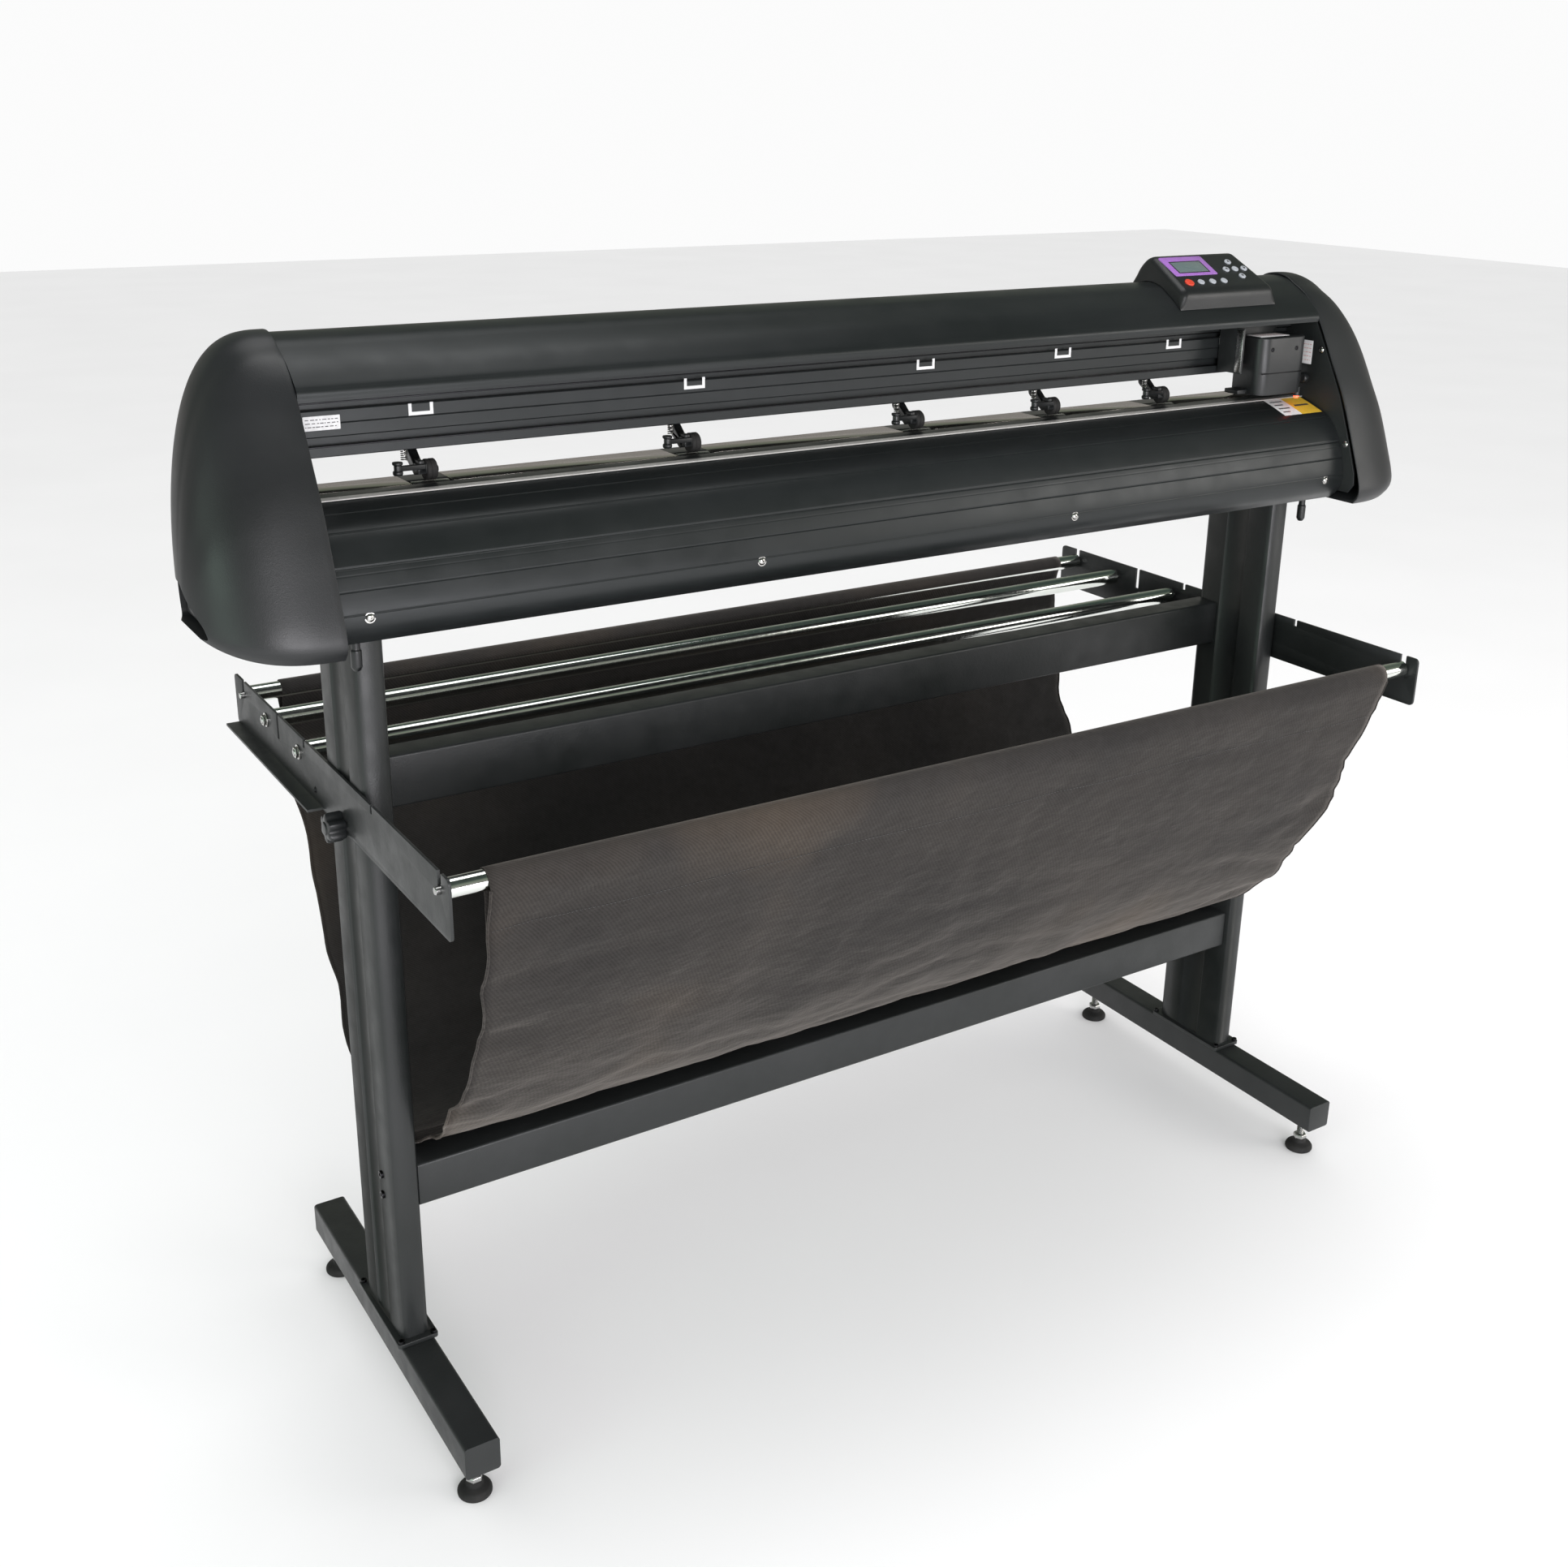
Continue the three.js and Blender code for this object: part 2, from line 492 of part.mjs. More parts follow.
// ---------------------------------------------------------------- media feed
function addDriveShaft() {
  const { y, z, r, sleeveR, sleeveHalf, x0, x1 } = DRIVE;
  const sleeves = STATIONS_X.flatMap((x) =>
    [[r, x - sleeveHalf], [sleeveR, x - sleeveHalf], [sleeveR, x + sleeveHalf], [r, x + sleeveHalf]]);
  add('drive_shaft', turned('x', [[0, x0], [r, x0], ...sleeves, [r, x1], [0, x1]], [y, z], 12), STEEL);
  const body = extrude('x', roundedRect(y - 28, y + 28, z - 28, z + 28, 6), x1 + GAP, x1 + 50, 2);
  add('feed_motor', body, BLACK_POWDER);
}

function addPinchArm(name, x) {
  const [armA, armB] = [x - 16.4, x - WHEEL.half - CLEAR];
  const web = capsule([PIVOT.y, PIVOT.z], [DRIVE.y, WHEEL_Z], 6, 4.5);
  const arm = cut(extrude('x', web, armA, armB, 6), rod('x', PIVOT.hole, armA - 1, armB + 1, [PIVOT.y, PIVOT.z], 12));
  const axle = rod('x', AXLE_R, armB - 1, x + WHEEL.half + 2, [DRIVE.y, WHEEL_Z], 10);
  const head = rod('x', 4, x + WHEEL.half + CLEAR, x + WHEEL.half + 2.6, [DRIVE.y, WHEEL_Z], 10);
  const nose = box(armA, armB, 0, DRIVE.y, WHEEL_Z - 2, WHEEL_Z + 8);
  const lever = box(x - 36, armB - 2, -1, 5, WHEEL_Z + 3, WHEEL_Z + 8);
  const grip = rod('z', 4, WHEEL_Z, WHEEL_Z + 11, [x - 37, 2], 10);
  add(name, join(arm, axle, head, nose, lever, grip), BLACK_PLASTIC);
}

function addPinchWheel(name, x) {
  const { r, half, bore } = WHEEL;
  const ring = [[bore, x - half], [r - 1, x - half], [r, x - half + 1], [r, x + half - 1], [r - 1, x + half], [bore, x + half]];
  add(name, turned('x', [...ring, ring[0]], [DRIVE.y, WHEEL_Z], 14), RUBBER);
}

function addFeed() {
  addDriveShaft();
  STATIONS_X.forEach((x, i) => {
    addPinchArm(`pinch_arm_${i + 1}`, x);
    addPinchWheel(`pinch_wheel_${i + 1}`, x);
  });
}

// ---------------------------------------------------------------- carriage, belt and motor
function addCarriage() {
  const { x0, x1, y0, y1, z0, z1 } = CARRIAGE;
  const back = box(x0, x1, y0, y1, z0, z1);
  const cheek = box(x0, x0 + 3, -44, y1, z0, z1);
  const block = box(TOOL.x - 14, TOOL.x + 14, TOOL.y - 12, y1, 1106, 1120);
  const riser = box(TOOL.x - 15, TOOL.x + 15, y0, y1, z1 - 1, BEAM.z1 + 2.4);
  const clamp = box(TOOL.x - 15, TOOL.x + 15, y0, BELT.y1 + 2, BEAM.z1 + 0.8, BEAM.z1 + 2.4);
  const toolHole = rod('z', TOOL.r + TOOL.clear, 1100, 1130, [TOOL.x, TOOL.y]);
  add('carriage_plate', cut(join(back, cheek, block, riser, clamp), toolHole), STEEL);
  const hood = extrude('z', roundedRect(HOOD.x0, HOOD.x1, HOOD.y0, HOOD.y1 + HOOD.corner, HOOD.corner), HOOD.z0, HOOD.z1);
  const inner = roundedRect(HOOD.x0 + SKIN, HOOD.x1 - SKIN, HOOD.y0 + SKIN, HOOD.y1 + 40, HOOD.corner - SKIN);
  const hollow = extrude('z', inner, HOOD.z0 - 1, HOOD.z1 - SKIN);
  const behind = box(HOOD.x0 - 1, HOOD.x1 + 1, HOOD.y1, HOOD.y1 + 40, HOOD.z0 - 1, HOOD.z1 + 1);
  add('carriage_cover', cut(hood, hollow, behind), BLACK_PLASTIC);
}

function addToolHolder() {
  const { x, y, r, tip } = TOOL;
  const profile = [[0, tip], [1, tip + 3], [2.5, tip + 5], [r, tip + 8], [r, 1125.5], [8, 1125.5], [8, 1134], [0, 1134]];
  add('tool_holder', turned('z', profile, [x, y], 12), STEEL);
}

function addBelt() {
  const { y0, y1, z, r, thickness, halfSpan } = BELT;
  const loop = (radius) => capsule([z, -halfSpan], [z, halfSpan], radius, radius);
  const outer = extrude('y', loop(r + thickness / 2), y0, y1, 8);
  add('drive_belt', cut(outer, extrude('y', loop(r - thickness / 2), y0 - 1, y1 + 1, 8)), RUBBER);
  const pulleyR = r - thickness / 2 - GAP;
  const rim = [[2.3, y0 - 1], [pulleyR, y0 - 1], [pulleyR, y1 + 1], [4, y1 + 1], [4, y1 + 3.5], [2.3, y1 + 3.5]];
  add('belt_idler', turned('y', [...rim, rim[0]], [z, -halfSpan], 16), STEEL);
  const pulley = rod('y', pulleyR, y0 - 1, y1 + 1, [z, halfSpan]);
  const shaft = rod('y', 2.5, y1, 49, [z, halfSpan], 10);
  const body = extrude('y', roundedRect(z - 18, z + 18, halfSpan - 18, halfSpan + 18, 4), 48, 66, 2);
  add('x_motor', join(pulley, shaft, body), BLACK_POWDER);
}

// ---------------------------------------------------------------- control pod
const PANEL_U = [Math.cos(PANEL.slope), Math.sin(PANEL.slope)];
const PANEL_N = [-Math.sin(PANEL.slope), Math.cos(PANEL.slope)];

// A piece built flat, x across, y up the panel and z out of it, laid onto the sloping panel.
function ontoPanel(body) {
  return body.rotate([THREE.MathUtils.radToDeg(PANEL.slope), 0, 0]).translate([0, PANEL.y, PANEL.z]);
}

function podBody() {
  const under = smooth(COVER, 60).filter(([y, z]) => y > POD.y0 && y < POD.y1 && z > 1180).map(([y, z]) => [y, z + 0.9]);
  const crest = [PANEL.y + PANEL.length * PANEL_U[0], PANEL.z + PANEL.length * PANEL_U[1]];
  const top = [[POD.y1, 1214], [62, 1232], [52, crest[1] - 3], [crest[0] + 3, crest[1]], crest, [PANEL.y, PANEL.z], [POD.y0, 1205]];
  const body = extrude('x', shapeOf([[POD.y0, 1188], ...under, ...top]), POD.x0, POD.x1);
  const sides = shapeOf([
    [1170, POD.x0], [1170, POD.x1], [1215, POD.x1], [1255, POD.x1 - POD.taper], [1255, POD.x0 + POD.taper], [1215, POD.x0],
  ]);
  return body.intersect(extrude('y', sides, POD.y0 - 1, POD.y1 + 1));
}

const KEYS = [
  { name: 'stop_button', x: MENU_ROW.x, u: MENU_ROW.u, r: MENU_ROW.stopR, material: RED },
  ...[1, 2, 3].map((i) => ({
    name: `menu_button_${i}`, x: MENU_ROW.x + i * MENU_ROW.pitch, u: MENU_ROW.u, r: MENU_ROW.menuR, material: GREY_KEY,
  })),
  ...[['up', 0, 1], ['left', -1, 0], ['enter', 0, 0], ['right', 1, 0], ['down', 0, -1]].map(([label, dx, du]) => ({
    name: `arrow_button_${label}`, x: ARROWS.x + dx * ARROWS.pitch, u: ARROWS.u + du * ARROWS.pitch, r: ARROWS.r,
    material: GREY_KEY,
  })),
];

function addControlPod() {
  const wells = KEYS.map(({ x, u, r }) => ontoPanel(rod('z', r + BUTTON.clear, -BUTTON.floor, 5, [x, u], 12)));
  const { x0, x1, u0, u1, depth, proud } = DISPLAY;
  const recess = ontoPanel(box(x0 - GAP, x1 + GAP, u0 - GAP, u1 + GAP, -depth - GAP, 5));
  add('control_pod', cut(podBody(), recess, ...wells), BLACK_PLASTIC);
  add('display_window', ontoPanel(box(x0, x1, u0, u1, -depth, proud)), SCREEN);
  for (const { name, x, u, r, material } of KEYS) {
    const profile = [[0, -BUTTON.sunk], [r, -BUTTON.sunk], [r, BUTTON.proud - 0.6], [r - 0.8, BUTTON.proud], [0, BUTTON.proud]];
    add(name, ontoPanel(turned('z', profile, [x, u], 12)), material);
  }
}

addStand();
addMediaSupport();
addPlaten();
addShells();
addGuideBeam();
addEnds();
addFeed();
addCarriage();
addToolHolder();
addBelt();
addControlPod();

// The brackets reach furthest to the front and the rear, so they set the middle of the footprint.
machine.position.y = -(BRACKET.y0 + BRACKET.y1) / 2;

export default machine;
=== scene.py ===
"""Looks for the vinyl cutter: fine surfaces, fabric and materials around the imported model."""
import json
import math

import bmesh
import bpy
import numpy as np
from mathutils import Matrix, Vector, noise


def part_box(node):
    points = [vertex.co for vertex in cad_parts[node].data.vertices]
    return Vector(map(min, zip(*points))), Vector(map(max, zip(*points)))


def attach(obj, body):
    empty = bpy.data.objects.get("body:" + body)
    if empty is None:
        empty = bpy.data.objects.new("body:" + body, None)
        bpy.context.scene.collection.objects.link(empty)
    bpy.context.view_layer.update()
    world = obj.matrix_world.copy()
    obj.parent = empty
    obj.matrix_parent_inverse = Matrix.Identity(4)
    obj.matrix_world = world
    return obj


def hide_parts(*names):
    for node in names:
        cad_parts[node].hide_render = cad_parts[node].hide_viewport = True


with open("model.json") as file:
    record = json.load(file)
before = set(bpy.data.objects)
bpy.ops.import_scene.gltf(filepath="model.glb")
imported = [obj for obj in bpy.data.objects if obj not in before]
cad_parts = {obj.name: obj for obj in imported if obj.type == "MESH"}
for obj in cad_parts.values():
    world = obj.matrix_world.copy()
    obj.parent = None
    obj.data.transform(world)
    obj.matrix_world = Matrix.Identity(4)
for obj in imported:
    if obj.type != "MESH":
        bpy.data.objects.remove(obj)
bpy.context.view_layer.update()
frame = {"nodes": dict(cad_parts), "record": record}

# Measures are in millimetres, with y = 0 in the middle of the columns.
MM = 0.001
COLUMN_LO, COLUMN_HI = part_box("left_column")
Y0 = (COLUMN_LO.y + COLUMN_HI.y) / 2
HEAD_HALF = 687.4
RNG = np.random.default_rng(7)


SLOT_OF = {part["node"]: part["material_slot"] for part in frame["record"]["subparts"]}
SIDES = (("left", -1), ("right", 1))


def at(x, y, z):
    return Vector((x * MM, Y0 + y * MM, z * MM))


def linked(name, data):
    """A new object for a mesh, light or camera, placed in the scene."""
    obj = bpy.data.objects.new(name, data)
    bpy.context.scene.collection.objects.link(obj)
    return obj


def set_stops(ramp, stops):
    """Gives a colour ramp its stops, each (position, colour)."""
    while len(ramp.elements) < len(stops):
        ramp.elements.new(0.5)
    for element, (position, color) in zip(ramp.elements, stops):
        element.position = position
        element.color = (*color, 1.0)


# ---------------------------------------------------------------- node material tools
class Shade:
    """A Principled material with short calls for the nodes it is built from."""

    def __init__(self, name, color, roughness=0.5, metallic=0.0, **sockets):
        self.material = bpy.data.materials.new(name)
        self.material.use_nodes = True
        self.tree = self.material.node_tree
        self.shader = self.tree.nodes["Principled BSDF"]
        self.set("Base Color", (*color, 1.0))
        self.set("Roughness", roughness)
        self.set("Metallic", metallic)
        for socket, value in sockets.items():
            self.set(socket.replace("_", " "), value)
        self.coords = self.node("ShaderNodeTexCoord").outputs["Object"]

    def node(self, kind, **settings):
        made = self.tree.nodes.new(kind)
        for key, value in settings.items():
            setattr(made, key, value)
        return made

    def set(self, socket, value):
        self.shader.inputs[socket].default_value = value

    def link(self, source, target):
        self.tree.links.new(source, target)

    def scaled(self, scale):
        """The object's coordinates stretched along each axis."""
        mapping = self.node("ShaderNodeMapping")
        mapping.inputs["Scale"].default_value = scale
        self.link(self.coords, mapping.inputs["Vector"])
        return mapping.outputs["Vector"]

    def noise(self, scale, detail=3.0, roughness=0.5, stretch=None):
        made = self.node("ShaderNodeTexNoise")
        made.inputs["Scale"].default_value = scale
        made.inputs["Detail"].default_value = detail
        made.inputs["Roughness"].default_value = roughness
        self.link(self.coords if stretch is None else self.scaled(stretch), made.inputs["Vector"])
        return made.outputs["Fac"]

    def ramp(self, value, stops):
        made = self.node("ShaderNodeValToRGB")
        set_stops(made.color_ramp, stops)
        self.link(value, made.inputs["Fac"])
        return made.outputs["Color"]

    def remap(self, value, low, high, source=(0.3, 0.7)):
        made = self.node("ShaderNodeMapRange")
        made.inputs["From Min"].default_value = source[0]
        made.inputs["From Max"].default_value = source[1]
        made.inputs["To Min"].default_value = low
        made.inputs["To Max"].default_value = high
        self.link(value, made.inputs["Value"])
        return made.outputs["Result"]

    def math(self, operation, a, b):
        made = self.node("ShaderNodeMath", operation=operation)
        for socket, value in zip(made.inputs, (a, b)):
            if isinstance(value, (int, float)):
                socket.default_value = value
            else:
                self.link(value, socket)
        return made.outputs["Value"]

    def color(self, source):
        self.link(source, self.shader.inputs["Base Color"])

    def roughness(self, source):
        self.link(source, self.shader.inputs["Roughness"])

    def mottled(self, scale, detail, dark, light):
        """The colour drifts between two tints in soft patches."""
        self.color(self.ramp(self.noise(scale, detail), [(0.3, dark), (0.7, light)]))

    def uneven(self, scale, detail, low, high):
        """The roughness drifts between two values in soft patches."""
        self.roughness(self.remap(self.noise(scale, detail), low, high))

    def bump(self, *layers):
        """Stacks bumps, each (height, strength, distance in metres)."""
        normal = None
        for height, strength, distance in layers:
            made = self.node("ShaderNodeBump")
            made.inputs["Strength"].default_value = strength
            made.inputs["Distance"].default_value = distance
            self.link(height, made.inputs["Height"])
            if normal is not None:
                self.link(normal, made.inputs["Normal"])
            normal = made.outputs["Normal"]
        self.link(normal, self.shader.inputs["Normal"])

    def edge_wear(self, base, worn, amount=0.5):
        """Convex edges take a little of the worn colour."""
        geometry = self.node("ShaderNodeNewGeometry")
        sharp = self.remap(geometry.outputs["Pointiness"], 0.0, amount, (0.53, 0.62))
        patchy = self.math("MULTIPLY", sharp, self.remap(self.noise(60.0, 4.0), 0.2, 1.0))
        mix = self.node("ShaderNodeMix", data_type="RGBA")
        self.link(patchy, mix.inputs["Factor"])
        if isinstance(base, tuple):
            mix.inputs["A"].default_value = (*base, 1.0)
        else:
            self.link(base, mix.inputs["A"])
        mix.inputs["B"].default_value = (*worn, 1.0)
        return mix.outputs["Result"]


def powder_coat():
    # The slight green in the black is painted reflected light from green surroundings; the broad patches and
    # worn edges are the coat's own.
    made = Shade("black_powder_coat", (0.012, 0.014, 0.014), 0.42, 0.0, Specular_IOR_Level=0.5)
    broad = made.noise(6.0, 4.0)
    base = made.ramp(broad, [(0.3, (0.0085, 0.0105, 0.0100)), (0.7, (0.0165, 0.0180, 0.0185))])
    made.color(made.edge_wear(base, (0.05, 0.052, 0.055), 0.45))
    made.uneven(34.0, 5.0, 0.36, 0.50)
    made.bump((made.noise(620.0, 2.0), 0.22, 0.0006), (made.noise(150.0, 2.0), 0.10, 0.0010))
    return made.material


def extrusion():
    # The slight green in the black is painted reflected light from green surroundings; the broad patches and
    # fine lines are the extrusion's own.
    made = Shade("black_anodised_extrusion", (0.016, 0.019, 0.019), 0.34, 0.35)
    lines = made.noise(1.0, 3.0, 0.6, stretch=(1.2, 900.0, 900.0))
    broad = made.noise(1.0, 3.0, 0.5, stretch=(2.0, 14.0, 14.0))
    made.color(made.ramp(broad, [(0.3, (0.0125, 0.0150, 0.0150)), (0.7, (0.0210, 0.0235, 0.0245))]))
    made.uneven(24.0, 5.0, 0.30, 0.42)
    made.bump((lines, 0.10, 0.0003), (made.noise(500.0, 2.0), 0.06, 0.0004))
    return made.material


def moulded_plastic(name="black_moulded_plastic", tint=(0.0135, 0.0145, 0.0155), rough=(0.36, 0.47)):
    made = Shade(name, tint, 0.42, 0.0, Specular_IOR_Level=0.5)
    dark = tuple(c * 0.8 for c in tint)
    light = tuple(c * 1.25 for c in tint)
    base = made.ramp(made.noise(5.0, 4.0), [(0.3, dark), (0.7, light)])
    made.color(made.edge_wear(base, (0.04, 0.042, 0.045), 0.3))
    made.uneven(18.0, 5.0, *rough)
    grain = made.node("ShaderNodeTexVoronoi")
    grain.inputs["Scale"].default_value = 900.0
    made.link(made.coords, grain.inputs["Vector"])
    made.bump((grain.outputs["Distance"], 0.12, 0.0004), (made.noise(380.0, 3.0), 0.12, 0.0005))
    return made.material


def chrome():
    made = Shade("chrome_tube", (0.78, 0.80, 0.77), 0.10, 1.0)
    rings = made.noise(1.0, 3.0, 0.6, stretch=(260.0, 30.0, 30.0))
    made.mottled(7.0, 4.0, (0.66, 0.69, 0.65), (0.82, 0.84, 0.81))
    made.roughness(made.remap(rings, 0.07, 0.16))
    made.bump((rings, 0.02, 0.0003),)
    return made.material


def steel(name="machined_steel", tint=(0.52, 0.52, 0.51), rough=(0.22, 0.36), stretch=(40.0, 600.0, 600.0)):
    made = Shade(name, tint, 0.3, 1.0)
    lines = made.noise(1.0, 3.0, 0.6, stretch=stretch)
    made.mottled(30.0, 4.0, tuple(c * 0.82 for c in tint), tint)
    made.roughness(made.remap(lines, *rough))
    made.bump((lines, 0.06, 0.0002),)
    return made.material


def rubber():
    made = Shade("black_rubber", (0.011, 0.011, 0.011), 0.78, 0.0, Specular_IOR_Level=0.4)
    stops = [(0.3, (0.009, 0.009, 0.009)), (0.75, (0.022, 0.021, 0.020))]
    made.color(made.ramp(made.noise(40.0, 4.0), stops))
    made.uneven(90.0, 4.0, 0.66, 0.86)
    made.bump((made.noise(700.0, 3.0), 0.2, 0.0005),)
    return made.material


def bag_cloth():
    """A dark woven twill: fine diagonal ribs, faint slubs, and broad warm brown patches of painted light."""
    made = Shade(
        "woven_bag_cloth", (0.03, 0.027, 0.025), 0.82, 0.0,
        Sheen_Weight=0.22, Sheen_Roughness=0.45, Specular_IOR_Level=0.22,
    )
    made.set("Sheen Tint", (0.75, 0.68, 0.62, 1.0))
    # The warm brown top stop of these patches is painted light, the cloth lighter where light falls on it;
    # the darker stops are its own tone.
    painted_light_patches = made.noise(2.4, 3.0, 0.5)
    base = made.ramp(painted_light_patches, [
        (0.32, (0.0150, 0.0142, 0.0142)), (0.50, (0.0230, 0.0208, 0.0196)), (0.70, (0.0520, 0.0400, 0.0300)),
    ])
    ribs = made.node("ShaderNodeTexWave", wave_type="BANDS", bands_direction="DIAGONAL")
    ribs.inputs["Scale"].default_value = 150.0
    ribs.inputs["Distortion"].default_value = 0.6
    ribs.inputs["Detail"].default_value = 1.0
    made.link(made.coords, ribs.inputs["Vector"])
    warp = made.noise(1.0, 3.0, 0.6, stretch=(900.0, 90.0, 90.0))
    weft = made.noise(1.0, 3.0, 0.6, stretch=(90.0, 900.0, 900.0))
    thread = made.math("ADD", made.math("MULTIPLY", warp, 0.5), made.math("MULTIPLY", weft, 0.5))
    weave = made.math("ADD", made.math("MULTIPLY", ribs.outputs["Fac"], 0.45), thread)
    mix = made.node("ShaderNodeMix", data_type="RGBA", blend_type="MULTIPLY")
    mix.inputs["Factor"].default_value = 0.75
    made.link(base, mix.inputs["A"])
    made.link(made.ramp(weave, [(0.35, (0.55, 0.55, 0.55)), (0.95, (1.35, 1.33, 1.30))]), mix.inputs["B"])
    made.color(mix.outputs["Result"])
    made.uneven(60.0, 4.0, 0.74, 0.92)
    creases = made.noise(1.0, 5.0, 0.62, stretch=(7.0, 14.0, 14.0))
    made.bump((creases, 0.55, 0.010), (weave, 0.30, 0.0005))
    return made.material


def thread():
    made = Shade("black_stitching", (0.012, 0.011, 0.011), 0.7, 0.0, Sheen_Weight=0.3)
    made.mottled(500.0, 2.0, (0.008, 0.008, 0.008), (0.022, 0.020, 0.019))
    made.bump((made.noise(900.0, 2.0), 0.4, 0.0004),)
    return made.material


def bed_painted_reflection():
    """The bright bed strip: metal that mirrors what stands over it, tinted a bright brown-grey that is
    painted reflection.
    """
    made = Shade("bed_painted_reflection_metal", (0.60, 0.55, 0.51), 0.2, 1.0)
    streak = made.noise(1.0, 4.0, 0.6, stretch=(3.0, 240.0, 240.0))
    made.mottled(4.0, 4.0, (0.50, 0.46, 0.42), (0.68, 0.63, 0.59))
    made.roughness(made.remap(streak, 0.12, 0.26))
    made.bump((streak, 0.05, 0.0003),)
    return made.material


def glossy(name, tint, rough=(0.18, 0.3), **sockets):
    made = Shade(name, tint, 0.25, 0.0, **sockets)
    made.mottled(160.0, 3.0, tuple(c * 0.88 for c in tint), tint)
    made.uneven(220.0, 3.0, *rough)
    made.bump((made.noise(520.0, 2.0), 0.05, 0.0002),)
    return made.material


def lcd():
    """A grey-green liquid crystal window with a fine grid of dots."""
    made = Shade("lcd_window", (0.10, 0.13, 0.13), 0.12, 0.0)
    cells = made.node("ShaderNodeTexVoronoi")
    cells.inputs["Scale"].default_value = 900.0
    cells.inputs["Randomness"].default_value = 0.0
    made.link(made.coords, cells.inputs["Vector"])
    made.color(made.ramp(cells.outputs["Distance"], [(0.1, (0.07, 0.10, 0.10)), (0.6, (0.115, 0.15, 0.15))]))
    made.uneven(90.0, 3.0, 0.10, 0.18)
    return made.material


def paper(name, tint):
    made = Shade(name, tint, 0.45, 0.0)
    made.mottled(220.0, 3.0, tuple(c * 0.86 for c in tint), tint)
    made.uneven(120.0, 3.0, 0.38, 0.55)
    made.bump((made.noise(700.0, 2.0), 0.08, 0.0002),)
    return made.material


MATERIALS = {
    "powder": powder_coat(),
    "extrusion": extrusion(),
    "plastic": moulded_plastic(),
    "dark_plastic": moulded_plastic("dark_moulded_plastic", (0.009, 0.010, 0.0105), (0.30, 0.42)),
    "chrome": chrome(),
    "steel": steel(),
    "screw": steel("bright_screw", (0.62, 0.61, 0.59), (0.16, 0.28), (300.0, 300.0, 300.0)),
    "black_screw": steel("blackened_screw", (0.03, 0.03, 0.032), (0.3, 0.45), (300.0, 300.0, 300.0)),
    "brass": steel("brass_bush", (0.50, 0.36, 0.14), (0.2, 0.32), (200.0, 200.0, 200.0)),
    "rubber": rubber(),
    "cloth": bag_cloth(),
    "thread": thread(),
    "bed": bed_painted_reflection(),
    # The front strip's light grey is a painted highlight along the bed's rounded front edge.
    "strip": glossy("bed_edge_painted_highlight", (0.50, 0.49, 0.47), (0.16, 0.28)),
    "bezel": glossy("purple_bezel", (0.30, 0.13, 0.44), (0.16, 0.26)),
    "lcd": lcd(),
    "red": glossy("red_key", (0.62, 0.045, 0.018), (0.22, 0.34), Coat_Weight=0.3),
    "grey_key": glossy("grey_key", (0.36, 0.38, 0.41), (0.26, 0.38)),
    "white": paper("white_label", (0.74, 0.74, 0.74)),
    "yellow": paper("yellow_label", (0.74, 0.47, 0.04)),
    "pink": paper("pink_print", (0.62, 0.30, 0.27)),
    "ink": paper("label_ink", (0.06, 0.06, 0.06)),
    "wire": glossy("signal_wire", (0.62, 0.52, 0.50), (0.3, 0.42)),
}
LED = Shade("laser_led", (0.8, 0.06, 0.03), 0.25, 0.0, Emission_Strength=5.0)
LED.set("Emission Color", (1.0, 0.07, 0.03, 1.0))
LED.uneven(400.0, 3.0, 0.2, 0.3)
MATERIALS["led"] = LED.material

# The part's slot for each material, where a call names no other; nothing here gives a piece its slot.
USUAL_SLOT = {
    "powder": "black_powder", "black_screw": "black_powder", "rubber": "rubber", "led": "stop_red",
    **dict.fromkeys(("extrusion", "bed", "strip"), "black_extrusion"),
    **dict.fromkeys(("plastic", "dark_plastic"), "black_plastic"),
    **dict.fromkeys(("steel", "screw", "brass"), "steel"),
    **dict.fromkeys(("cloth", "thread"), "bag_cloth"),
    **dict.fromkeys(("bezel", "lcd"), "screen"),
    **dict.fromkeys(("white", "yellow", "pink", "ink", "wire"), "key_grey"),
}


# ---------------------------------------------------------------- shape tools
def smooth(obj, sharp):
    """Smooth shading, with creases where faces meet at more than sharp degrees."""
    for polygon in obj.data.polygons:
        polygon.use_smooth = True
    obj.data.set_sharp_from_angle(angle=math.radians(sharp))


def edited(mesh, *changes):
    """Applies changes to a mesh, each a function of its bmesh."""
    bm = bmesh.new()
    bm.from_mesh(mesh)
    for change in changes:
        change(bm)
    bm.to_mesh(mesh)
    bm.free()


def face_outwards(bm):
    bmesh.ops.recalc_face_normals(bm, faces=bm.faces)


def bands(count, layers):
    """The quads between neighbouring closed rings of count points."""
    faces = []
    for start in range(0, (layers - 1) * count, count):
        for k in range(count):
            a, b = start + k, start + (k + 1) % count
            faces.append((a, b, b + count, a + count))
    return faces


def closed_rings(count, layers):
    """The bands between rings, and a flat face at each end."""
    total = count * layers
    return bands(count, layers) + [tuple(range(count)), tuple(range(total - 1, total - count - 1, -1))]


def sheet_faces(rows, columns):
    """The quads of an open grid with so many rows and columns of points."""
    return [(j * columns + i, j * columns + i + 1, (j + 1) * columns + i + 1, (j + 1) * columns + i)
            for j in range(rows - 1) for i in range(columns - 1)]


def finish_piece(obj, material, body, sharp=35.0):
    obj.data.materials.clear()
    obj.data.materials.append(MATERIALS[material])
    smooth(obj, sharp)
    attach(obj, body)
    return obj


def mesh_piece(name, points, faces, material, body="frame", slot=None, sharp=35.0):
    """A piece from points in millimetres in the columns' frame."""
    mesh = bpy.data.meshes.new(name)
    mesh.from_pydata([at(*p) for p in points], [], faces)
    mesh.validate()
    edited(mesh, lambda bm: bmesh.ops.remove_doubles(bm, verts=bm.verts, dist=1e-6), face_outwards)
    return finish_piece(linked(name, mesh), material, body, sharp)


